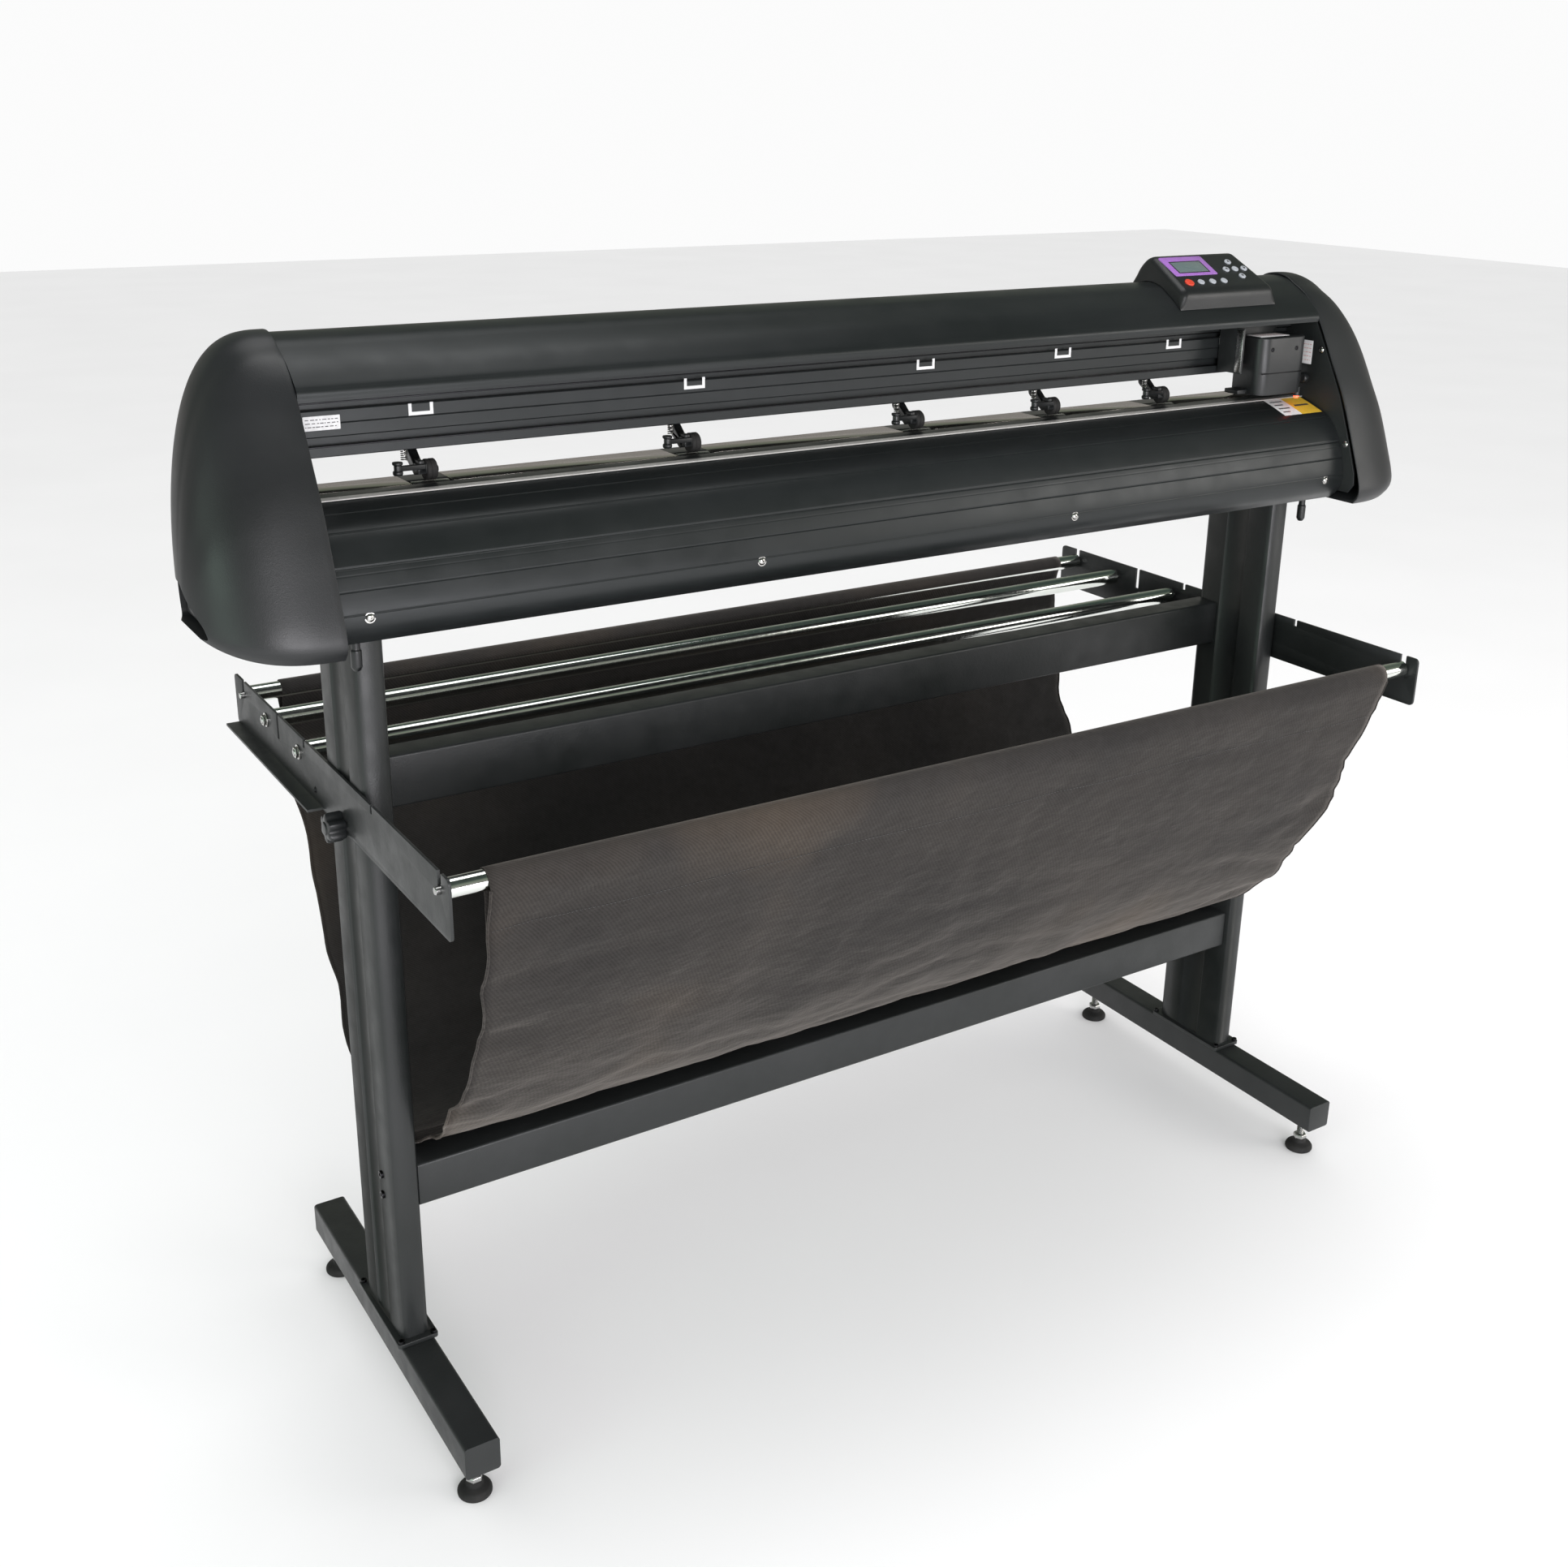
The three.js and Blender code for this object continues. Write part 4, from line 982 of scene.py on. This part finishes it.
# ---------------------------------------------------------------- feed: shaft, wheels and arms
WHEEL_Y, WHEEL_Z = 12, 1071.8
shaft_profile = [(0, -686), (5.0, -686), (5.5, -685.4)]
for x in STATIONS:
    shaft_profile += [(5.5, x - 20), (9.6, x - 20), (10.0, x - 19.4)]
    shaft_profile += [(10.0, x - 6), (9.7, x - 5.7), (9.7, x + 5.7), (10.0, x + 6)]
    shaft_profile += [(10.0, x + 19.4), (9.6, x + 20), (5.5, x + 20)]
shaft_profile += [(5.5, 703.4), (5.0, 704), (0, 704)]
shaft = lathe("drive_shaft_turned", shaft_profile, (0, WHEEL_Y, 1050.5), "x", "steel", 36, body="drive_shaft")
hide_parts("drive_shaft")

TYRE = [(2.7, -6), (9.2, -6), (10.2, -5.6), (11.0, -4.6), (11.0, -2.2), (10.5, -1.8), (10.5, -0.6),
        (11.0, -0.2), (11.0, 4.6), (10.2, 5.6), (9.2, 6), (6.2, 6), (6.0, 5.2), (2.7, 5.2), (2.7, -6)]
GRIP = softened([(0, -1.2), (4.6, -1.2), (5.2, 0.4), (5.2, 2.6), (3.2, 4.2), (3.2, 8.4), (5.4, 9.8),
                 (5.4, 12.2), (0, 12.6)], 0.7)
SPRING_TURNS, SPRING_LENGTH, SPRING_RADIUS = 6, 12.5, 3.0
SPRING_ANGLE = 2 * math.pi * SPRING_TURNS
for i, x in enumerate(STATIONS, 1):
    arm = f"arm_{i}"
    hub = (x, WHEEL_Y, WHEEL_Z)
    wheel = lathe(f"pinch_wheel_{i}_tyre", TYRE, hub, "x", "rubber", 40, 40.0, body=f"wheel_{i}")
    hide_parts(f"pinch_wheel_{i}")
    refined(f"pinch_arm_{i}", "dark_plastic", 0.5, body=arm, segments=2)
    dome_screw(f"pinch_axle_cap_{i}", (x + 8.6, WHEEL_Y, WHEEL_Z), "x", 2.6, "screw", 1.2, body=arm)
    dome_screw(f"pinch_pivot_cap_{i}", (x - 16.4, 34, 1088), (-1, 0, 0), 3.4, "black_screw", 1.5, body=arm,
               slot="black_plastic")
    lathe(f"pinch_grip_{i}", GRIP, (x - 37, 2, WHEEL_Z), "z", "dark_plastic", 28, body=arm)
    low, high = (x - 14.0, 3.0, WHEEL_Z + 4.5), (x - 8.2, 24.0, WHEEL_Z + 11.0)
    block(f"pinch_arm_rib_{i}", low, high, "dark_plastic", 0.8, 2, body=arm)
    coil = [(x - 23.5 + SPRING_RADIUS * math.cos(t), 20.0 + SPRING_RADIUS * math.sin(t),
             1081.5 + SPRING_LENGTH * t / SPRING_ANGLE) for t in np.linspace(0, SPRING_ANGLE, 140)]
    tube_along(f"pinch_spring_{i}", coil, 0.55, "screw", 6)

# ---------------------------------------------------------------- carriage
CARRIAGE = {"body": "carriage"}
refined("carriage_plate", "powder", 0.4, segments=2, **CARRIAGE)
block("carriage_cheek_face", (552.5, -43.6, 1102.0), (553.1, -33.0, 1156.0), "steel", 0.15, 1, **CARRIAGE)
refined("carriage_cover", "dark_plastic", 1.0, **CARRIAGE)
block("carriage_sole", (556.0, -40.0, 1073.0), (634.0, -16.0, 1078.5), "dark_plastic", 1.0, **CARRIAGE)
block("carriage_hood_band", (573.0, -62.6, 1100.0), (647.0, -61.4, 1101.4), "black_screw", 0.4, 2,
      slot="black_plastic", **CARRIAGE)
for label, x in (("left", 590.0), ("right", 634.0)):
    dome_screw(f"carriage_hood_screw_{label}", (x, -62.0, 1131.5), (0, -1, 0), 2.4, "black_screw", 1.3,
               slot="black_plastic", **CARRIAGE)
LASER = (649.0, -56.5, 0.0)
lathe("carriage_laser_barrel", softened([(3.4, 1067.5), (4.4, 1067.5), (4.4, 1079.0), (0, 1079.0)], 0.6),
      LASER, "z", "dark_plastic", 28, **CARRIAGE)
lathe("carriage_laser_light", [(0, 1063.8), (2.2, 1064.2), (3.3, 1065.4), (3.3, 1070.0), (0, 1070.0)],
      LASER, "z", "led", 24, **CARRIAGE)
bush = softened([(0, 556), (4.2, 556), (4.2, 560), (3.0, 561), (3.0, 571.8), (0, 571.8)], 0.5)
lathe("carriage_bush", bush, (0, -12.0, 1124.0), "x", "brass", 28, **CARRIAGE)
LEAD = [(566, -16, 1150), (560, -24, 1152), (557.5, -32, 1142), (558.5, -36, 1126), (561, -33, 1112),
        (568, -26, 1108), (574, -22, 1108)]
tube_along("carriage_lead", [tuple(p) for p in spline(LEAD, 40)], 1.3, "wire", 10, **CARRIAGE)


def on_hood_top(x, y, out):
    return x, y, 1146.0 + out


striped_label("carriage_label", on_hood_top, 584.0, 636.0, -46.0, -20.0, 3, "pink", **CARRIAGE)
tool_profile = softened(
    [(0, 1067.0), (0.8, 1068.4), (2.0, 1071.5), (3.0, 1073.0), (5.0, 1076.5), (5.0, 1106), (5.0, 1125.5),
     (8.0, 1125.5), (8.0, 1129.0), (7.3, 1129.6), (7.3, 1130.4), (8.0, 1131.0), (8.0, 1134.0),
     (0, 1134.0)], 0.5)
tool = lathe("tool_holder_turned", tool_profile, (622.0, -20.0, 0.0), "z", "screw", 36, body="tool")
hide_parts("tool_holder")

# ---------------------------------------------------------------- belt drive and motors
refined("drive_belt", "rubber", 0.2, segments=1)
refined("belt_idler", "steel", 0.25, body="belt_idler", segments=2)
refined("x_motor", "powder", 0.8)
refined("feed_motor", "powder", 0.8)
refined("power_inlet", "dark_plastic", 0.5, segments=2)
refined("power_switch", "dark_plastic", 0.7, body="power_rocker", segments=2)

# ---------------------------------------------------------------- control pod
PANEL_Y, PANEL_Z, PANEL_SLOPE = -26.0, 1210.5, math.radians(28.6)
PANEL_NORMAL = (0.0, -math.sin(PANEL_SLOPE), math.cos(PANEL_SLOPE))


def on_panel(x, u, out):
    return (x, PANEL_Y + u * math.cos(PANEL_SLOPE) - out * math.sin(PANEL_SLOPE),
            PANEL_Z + u * math.sin(PANEL_SLOPE) + out * math.cos(PANEL_SLOPE))


POD_X = (450.0, 619.0)
POD_TAPER, POD_ROUND = 12.0, 9.0
KEYS = [("stop_button", 478.0, 14.0, 6.5, "red")]
KEYS += [(f"menu_button_{i}", 478.0 + 20.3 * i, 14.0, 4.8, "grey_key") for i in (1, 2, 3)]
ARROWS = (("up", 0, 1), ("left", -1, 0), ("enter", 0, 0), ("right", 1, 0), ("down", 0, -1))
ARROW_X, ARROW_U, ARROW_PITCH = 578.5, 38.0, 16
KEYS += [(f"arrow_button_{label}", ARROW_X + ARROW_PITCH * dx, ARROW_U + ARROW_PITCH * du, 4.8, "grey_key")
         for label, dx, du in ARROWS]


def pod_rings():
    """The pod's closed side outline at stations along x, drawn in towards both ends."""
    _, crest_y, crest_z = on_panel(0, 75.0, 0)
    cover = spline(COVER, 260)
    under = respaced(np.array([(y, z + 0.9) for y, z in cover if -31 < y < 68 and z > 1180]), 26)
    corners = [(68, 1214), (62, 1232), (52, crest_z - 3), (crest_y, crest_z), (-31, 1207.8), tuple(under[0])]
    top = respaced(np.array(softened([tuple(under[-1]), *corners], 9.0, 8)), 90)
    normal = normals_of(top)
    if ((np.array([10.0, 1215.0]) - top) * normal).sum() < 0:
        normal = -normal
    height = top[:, 1] - np.interp(top[:, 0], under[:, 0], under[:, 1])
    freedom = np.clip((height - 1.0) / 14.0, 0, 1)[:, None]
    stations = []
    for angle in np.linspace(0, math.pi / 2, 9):
        stations.append((POD_ROUND * (1 - math.cos(angle)), POD_ROUND * (1 - math.sin(angle))))
    rings = []
    for end, sign in ((POD_X[0], 1), (POD_X[1], -1)):
        side = []
        for along, inset in stations:
            outline = np.vstack([top + normal * inset * freedom, under[1:-1]])
            taper = POD_TAPER * np.clip((outline[:, 1] - 1190.0) / 56.0, 0, 1)
            side.append([(end + sign * (along + t), y, z) for (y, z), t in zip(outline, taper)])
        rings += side if sign > 0 else side[::-1]
    return rings


def well_cutter(shapes):
    """One closed body of several prisms on the panel, each (outline, low, high)."""
    points, faces = [], []
    for outline, low, high in shapes:
        base, count = len(points), len(outline)
        points += [at(*on_panel(a, b, h)) for h in (low, high) for a, b in outline]
        faces += [tuple(base + k for k in face) for face in bands(count, 2)]
        faces += [tuple(range(base + count - 1, base - 1, -1)), tuple(range(base + count, base + 2 * count))]
    return cutter_of("pod_cutter", points, faces)


def soft_pod():
    """The pod with broad round edges, then crisp key wells and a display recess."""
    rings = pod_rings()
    points = [p for ring in rings for p in ring]
    faces = closed_rings(len(rings[0]), len(rings))
    pod = mesh_piece("control_pod_shell", points, faces, "dark_plastic", sharp=38.0)
    shapes = [(rectangle(466.7, 541.3, 28.7, 70.3, 2.6), -2.3, 6.0)]
    turns = np.linspace(0, 2 * math.pi, 40, endpoint=False)
    for _, x, u, radius, _ in KEYS:
        wide = radius + 0.4
        shapes.append(([(x + wide * math.cos(t), u + wide * math.sin(t)) for t in turns], -4.6, 6.0))
    cut_away(pod, well_cutter(shapes))
    finish_piece(pod, "dark_plastic", "frame", sharp=38.0)
    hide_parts("control_pod")


soft_pod()
bezel = plate("display_bezel", rectangle(467, 541, 29, 70, 2.5), on_panel, -1.9, 0.6, "bezel", 0.4)
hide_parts("display_window")
plate("display_glass", rectangle(478.5, 529.5, 36, 58, 0.8), on_panel, 0.2, 0.78, "lcd", 0.15)
plate("display_frame_line", rectangle(476.5, 531.5, 34, 60, 1.2), on_panel, 0.1, 0.68, "dark_plastic", 0.15,
      slot="screen")

for node, x, u, radius, material in KEYS:
    dish = [(0, -2.4), (radius, -2.4), (radius, 0.9), (radius - 0.35, 1.5), (radius - 1.1, 1.8),
            (radius * 0.55, 1.62), (0, 1.5)]
    key = lathe(f"{node}_cap", dish, on_panel(x, u, 0.0), PANEL_NORMAL, material, 40, 50.0,
                body=f"{node}_body", slot=SLOT_OF[node])
    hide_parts(node)
for label, dx, du in ARROWS:
    if label == "enter":
        continue
    centre = np.array([ARROW_X + ARROW_PITCH * dx, ARROW_U + ARROW_PITCH * du])
    ahead, across = np.array([dx, du], float), np.array([-du, dx], float)
    tip = [centre + ahead * 2.3, centre - ahead * 1.3 + across * 2.2, centre - ahead * 1.3 - across * 2.2]
    plate(f"arrow_mark_{label}", tip, on_panel, 1.3, 1.95, "ink", 0.1, body=f"arrow_button_{label}_body")

# ---------------------------------------------------------------- the catch bag
BAG_X0, BAG_X1 = -616.0, 614.0
BAG_SECTION = [
    (-287.2, 745), (-286.6, 733), (-239.5, 624), (-154.5, 464), (-84.5, 388), (-7.5, 338.5), (61.5, 287),
    (130, 275.5), (198, 292), (296.5, 409.5), (351.5, 618), (371.2, 733), (371.8, 745),
]
BAG_COLUMNS, BAG_ROWS = 112, 118
ROD_WRAP = 11.8
DRAPE_FRAMES = 46
SEAM = 60.0  # from a rod to its hem's stitches
CLOTH_THICKNESS = 0.9
HEM = 62.0


def bag_start():
    """Rows of points from the front rod to the rear one, a little rumpled."""
    line = spline(BAG_SECTION, BAG_ROWS + 1)
    normal = normals_of(line)
    share = np.linspace(0, 1, BAG_ROWS + 1)
    free = np.clip(np.minimum(share, 1 - share) * 9, 0, 1)
    xs = np.linspace(BAG_X0, BAG_X1, BAG_COLUMNS + 1)
    grid = np.zeros((BAG_ROWS + 1, BAG_COLUMNS + 1, 3))
    for j, (y, z) in enumerate(line):
        for i, x in enumerate(xs):
            rumple = noise.noise(Vector((x * 0.006, share[j] * 5.0, 3.1))) * 5.0
            rumple += noise.noise(Vector((x * 0.021, share[j] * 14.0, 8.4))) * 2.0
            edge = math.exp(-(min(x - BAG_X0, BAG_X1 - x) / 60.0) ** 2)
            wave = noise.noise(Vector((share[j] * 15.0, 0.0, 5.0 + (x > 0)))) * 13.0 * edge
            side = -1 if x < 0 else 1
            grid[j, i] = (x + wave * side * free[j] - 7.0 * side * edge * free[j],
                          y + normal[j, 0] * rumple * free[j], z + normal[j, 1] * rumple * free[j])
    return grid


def drape(grid):
    """Lets the sheet hang from its pinned ends over the lower crossbar, as cloth."""
    rows, columns = grid.shape[:2]
    mesh = bpy.data.meshes.new("bag_drape")
    mesh.from_pydata([at(*p) for p in grid.reshape(-1, 3)], [], sheet_faces(rows, columns))
    cloth_object = linked("bag_drape", mesh)
    pins = cloth_object.vertex_groups.new(name="pins")
    held = [j * columns + i for j in (0, 1, rows - 2, rows - 1) for i in range(columns)]
    pins.add(held, 1.0, "REPLACE")
    low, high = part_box("lower_crossbar")
    bar_mesh = bpy.data.meshes.new("bar_collider")
    pad = 0.002
    corners = [(x, y, z) for x in (low.x, high.x) for y in (low.y - pad, high.y + pad)
               for z in (low.z, high.z + pad)]
    walls = [(0, 1, 3, 2), (4, 6, 7, 5), (0, 4, 5, 1), (2, 3, 7, 6), (0, 2, 6, 4), (1, 5, 7, 3)]
    bar_mesh.from_pydata(corners, [], walls)
    bar = linked("bar_collider", bar_mesh)
    bar.modifiers.new("collide", "COLLISION")
    bar.collision.thickness_outer = 0.003
    bar.collision.cloth_friction = 20.0
    modifier = cloth_object.modifiers.new("cloth", "CLOTH")
    settings = modifier.settings
    settings.quality = 7
    settings.mass = 0.25
    settings.tension_stiffness = settings.compression_stiffness = 25.0
    settings.shear_stiffness = 8.0
    settings.bending_stiffness = 6.0
    settings.air_damping = 4.0
    settings.vertex_group_mass = "pins"
    settings.shrink_min = -0.0008
    modifier.collision_settings.distance_min = 0.003
    modifier.collision_settings.collision_quality = 3
    modifier.collision_settings.use_self_collision = False
    scene = bpy.context.scene
    modifier.point_cache.frame_start, modifier.point_cache.frame_end = 1, DRAPE_FRAMES
    for number in range(1, DRAPE_FRAMES + 1):
        scene.frame_set(number)
    evaluated = cloth_object.evaluated_get(bpy.context.evaluated_depsgraph_get())
    flat = np.array([v.co[:] for v in evaluated.data.vertices]) / MM
    flat[:, 1] -= Y0 / MM
    bpy.data.objects.remove(cloth_object)
    bpy.data.objects.remove(bar)
    scene.frame_set(1)
    return flat.reshape(rows, columns, 3)


def surface_normals(grid):
    """Unit normals towards the inside of the bag."""
    along, across = np.gradient(grid, axis=0), np.gradient(grid, axis=1)
    normal = np.cross(across, along)
    normal /= np.linalg.norm(normal, axis=2)[:, :, None] + 1e-9
    middle = np.array([0.0, 40.0, 560.0])
    inward = ((middle - grid) * normal).sum() > 0
    return normal if inward else -normal


def from_rod(grid, normal, front):
    """The sheet's rows and normals from the front or the rear rod on, and the length to each row."""
    rows, normals = (grid, normal) if front else (grid[::-1], normal[::-1])
    return rows, normals, running_length(rows[:, rows.shape[1] // 2])


def pocket(grid, normal, rod, front):
    """The rod pocket: the hem's inner layer, up from the seam, and the turn over the rod."""
    rows, normals, steps = from_rod(grid, normal, front)
    last = int(np.searchsorted(steps, HEM))
    inner = []
    for j in range(last, 0, -1):
        share = steps[j] / steps[last]
        gap = 1.5 + (2 * ROD_WRAP - 1.5) * (1 - share) ** 1.6
        inner.append(rows[j] + normals[j] * gap)
    turn = []
    for angle in np.linspace(0, math.pi, 13)[:-1]:
        y = rod[0] + (1 if front else -1) * ROD_WRAP * math.cos(angle)
        z = rod[1] + ROD_WRAP * math.sin(angle)
        turn.append(np.stack([rows[0][:, 0], np.full(rows.shape[1], y), np.full(rows.shape[1], z)], axis=1))
    layers = inner + turn
    return layers if front else layers[::-1]


STITCH_FACES = [(0, 3, 4, 1), (1, 4, 5, 2), (3, 6, 7, 4), (4, 7, 8, 5)]
STITCH_LENGTH, STITCH_PITCH = 3.0, 4.6


def stitches(name, grid, normal, row_length, front):
    """A line of short stitches along the hem's seam, on the outer face."""
    rows, normals, steps = from_rod(grid, normal, front)
    j = int(np.searchsorted(steps, row_length))
    share = (row_length - steps[j - 1]) / (steps[j] - steps[j - 1])
    line = rows[j - 1] * (1 - share) + rows[j] * share
    out = -(normals[j - 1] * (1 - share) + normals[j] * share)
    points, faces = [], []
    x = BAG_X0 + 6.0
    while x < BAG_X1 - 9.0:
        start = np.array([np.interp(x, line[:, 0], line[:, k]) for k in range(3)])
        end = np.array([np.interp(x + STITCH_LENGTH, line[:, 0], line[:, k]) for k in range(3)])
        away = np.array([np.interp(x, line[:, 0], out[:, k]) for k in range(3)])
        down = np.cross(away, [1.0, 0.0, 0.0])
        base = len(points)
        for p, lift in ((start, 0.5), ((start + end) / 2, 1.0), (end, 0.5)):
            points += [tuple(p + away * lift + down * 0.45), tuple(p + away * (lift + 0.35)),
                       tuple(p + away * lift - down * 0.45)]
        faces += [tuple(base + k for k in face) for face in STITCH_FACES]
        x += STITCH_PITCH
    return mesh_piece(name, points, faces, "thread")


def pucker(grid, normal):
    """Draws the cloth in a little along both hem seams."""
    for front in (True, False):
        rows, normals, steps = from_rod(grid, normal, front)
        seam = int(np.argmin(abs(steps - SEAM)))
        rows[seam] += normals[seam] * 1.3


def crease(grid, normal):
    """Lifts sharp little folds inwards, more of them low down and near the free edges."""
    rows, columns = grid.shape[:2]
    for j in range(4, rows - 4):
        share = j / rows
        low = 1 - abs(share - 0.42) * 2.0
        for i in range(columns):
            x = grid[j, i, 0] * 0.001
            across = share * 9.0
            first = 1 - 2.4 * abs(noise.noise(Vector((x * 3.4 + across * 0.7, across * 1.3 - x * 1.6, 2.0))))
            second = 1 - 2.6 * abs(noise.noise(Vector((x * 7.5 - across * 1.1, across * 2.1 + x * 3.0, 9.0))))
            edge = math.exp(-min(i, columns - 1 - i) / 7.0)
            lift = 3.2 * max(first, 0) ** 3 + 1.7 * max(second, 0) ** 3
            grid[j, i] += normal[j, i] * lift * (0.35 + 0.9 * max(low, 0) + 0.8 * edge)


def make_bag():
    start = bag_start()
    grid = drape(start)
    normal = surface_normals(grid)
    crease(grid, normal)
    normal = surface_normals(grid)
    pucker(grid, normal)
    layers = pocket(grid, normal, FRONT_ROD, True) + list(grid) + pocket(grid, normal, REAR_ROD, False)
    columns = grid.shape[1]
    points = [tuple(p) for layer in layers for p in layer]
    bag = mesh_piece("catch_bag_cloth", points, sheet_faces(len(layers), columns), "cloth", sharp=80.0)
    thick = bag.modifiers.new("thickness", "SOLIDIFY")
    thick.thickness = CLOTH_THICKNESS * MM
    thick.offset = 0.0
    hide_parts("catch_bag")
    seams = [stitches("front_hem_stitches", grid, normal, SEAM, True),
             stitches("rear_hem_stitches", grid, normal, SEAM, False)]
    for label, column in (("left", 0), ("right", columns - 1)):
        edge = [tuple(p) for p in grid[1:-1, column]]
        seams.append(tube_along(f"{label}_edge_hem", edge, 1.5, "cloth", 6))


make_bag()

# ---------------------------------------------------------------- view and light
CAMERA_AT = at(-1169.0, -1669.0, 1436.0)
CAMERA_AZIMUTH = math.radians(-32.28)
CAMERA_ELEVATION = math.radians(19.3)
CAMERA_ROLL = math.radians(0.77)
IMAGE_WIDTH = 1932
FOCAL_PIXELS = 2148.5
PRINCIPAL = (967.2, 870.2)
IMAGE_CENTRE = (966.0, 965.5)


def make_camera():
    cos_e = math.cos(CAMERA_ELEVATION)
    back = Vector((math.sin(CAMERA_AZIMUTH) * cos_e, -math.cos(CAMERA_AZIMUTH) * cos_e,
                   math.sin(CAMERA_ELEVATION)))
    right = (-back).cross(Vector((0, 0, 1))).normalized()
    up = right.cross(-back)
    c, s = math.cos(CAMERA_ROLL), math.sin(CAMERA_ROLL)
    right, up = right * c + up * s, up * c - right * s
    data = bpy.data.cameras.new("camera")
    data.sensor_width = 36.0
    data.lens = 36.0 * FOCAL_PIXELS / IMAGE_WIDTH
    data.shift_x = (IMAGE_CENTRE[0] - PRINCIPAL[0]) / IMAGE_WIDTH
    data.shift_y = (PRINCIPAL[1] - IMAGE_CENTRE[1]) / IMAGE_WIDTH
    data.clip_end = 100.0
    camera = linked("camera", data)
    rotation = Matrix((right, up, back)).transposed().to_4x4()
    camera.matrix_world = Matrix.Translation(CAMERA_AT) @ rotation
    bpy.context.scene.camera = camera


def area_light(name, place, target, size, power, tint=(1, 1, 1)):
    data = bpy.data.lights.new(name, "AREA")
    data.shape = "RECTANGLE"
    data.size, data.size_y = size
    data.energy = power
    data.color = tint
    light = linked(name, data)
    light.location = place
    light.rotation_euler = (Vector(target) - Vector(place)).to_track_quat("-Z", "Y").to_euler()


def make_world():
    """White to the camera, even pale light to matt surfaces, and a dim greenish room to reflections."""
    world = bpy.data.worlds.new("studio")
    bpy.context.scene.world = world
    world.use_nodes = True
    nodes, links = world.node_tree.nodes, world.node_tree.links
    room = nodes["Background"]
    coords = nodes.new("ShaderNodeTexCoord")
    split = nodes.new("ShaderNodeSeparateXYZ")
    links.new(coords.outputs["Generated"], split.inputs["Vector"])
    ramp = nodes.new("ShaderNodeValToRGB")
    set_stops(ramp.color_ramp, [
        (0.0, (0.40, 0.40, 0.40)), (0.50, (0.42, 0.40, 0.38)), (0.60, (0.25, 0.25, 0.225)),
        (0.74, (0.21, 0.24, 0.19)), (0.86, (0.05, 0.07, 0.06)), (1.0, (0.03, 0.04, 0.035)),
    ])
    height = nodes.new("ShaderNodeMapRange")
    height.inputs["From Min"].default_value = -1.0
    links.new(split.outputs["Z"], height.inputs["Value"])
    links.new(height.outputs["Result"], ramp.inputs["Fac"])
    links.new(ramp.outputs["Color"], room.inputs["Color"])
    room.inputs["Strength"].default_value = 1.0
    pale = nodes.new("ShaderNodeBackground")
    pale.inputs["Color"].default_value = (0.97, 0.97, 0.97, 1.0)
    seen = nodes.new("ShaderNodeLightPath")
    mix = nodes.new("ShaderNodeMixShader")
    links.new(seen.outputs["Is Glossy Ray"], mix.inputs["Fac"])
    links.new(pale.outputs["Background"], mix.inputs[1])
    links.new(room.outputs["Background"], mix.inputs[2])
    links.new(mix.outputs["Shader"], nodes["World Output"].inputs["Surface"])


def make_floor():
    mesh = bpy.data.meshes.new("floor")
    half = 14.0
    corners = [(-half, -half, 0), (half, -half, 0), (half, half, 0), (-half, half, 0)]
    mesh.from_pydata(corners, [], [(0, 1, 2, 3)])
    floor = linked("floor", mesh)
    made = Shade("pale_floor", (0.86, 0.86, 0.86), 0.8, 0.0, Specular_IOR_Level=0.1)
    made.mottled(1.5, 3.0, (0.85, 0.85, 0.85), (0.87, 0.87, 0.87))
    mesh.materials.append(made.material)


make_camera()
make_world()
make_floor()
area_light("key_front", (-1.3, -4.6, 1.7), (0.0, 0.0, 0.75), (2.6, 1.5), 105, (0.98, 0.96, 1.0))
area_light("fill_left", (-4.6, -1.2, 1.6), (0.0, 0.0, 0.6), (2.0, 1.6), 26, (0.72, 1.0, 0.84))
area_light("window_right", (3.4, -3.2, 1.8), (0.2, 0.0, 0.6), (1.8, 1.8), 42, (1.0, 0.97, 0.94))
area_light("low_front", (-0.4, -4.4, 0.7), (0.0, 0.0, 0.9), (2.6, 0.8), 45, (0.96, 0.95, 1.0))
area_light("overhead", (0.4, 0.6, 4.6), (0.0, 0.0, 0.8), (2.4, 1.6), 30)
bpy.context.scene.view_settings.view_transform = "Standard"
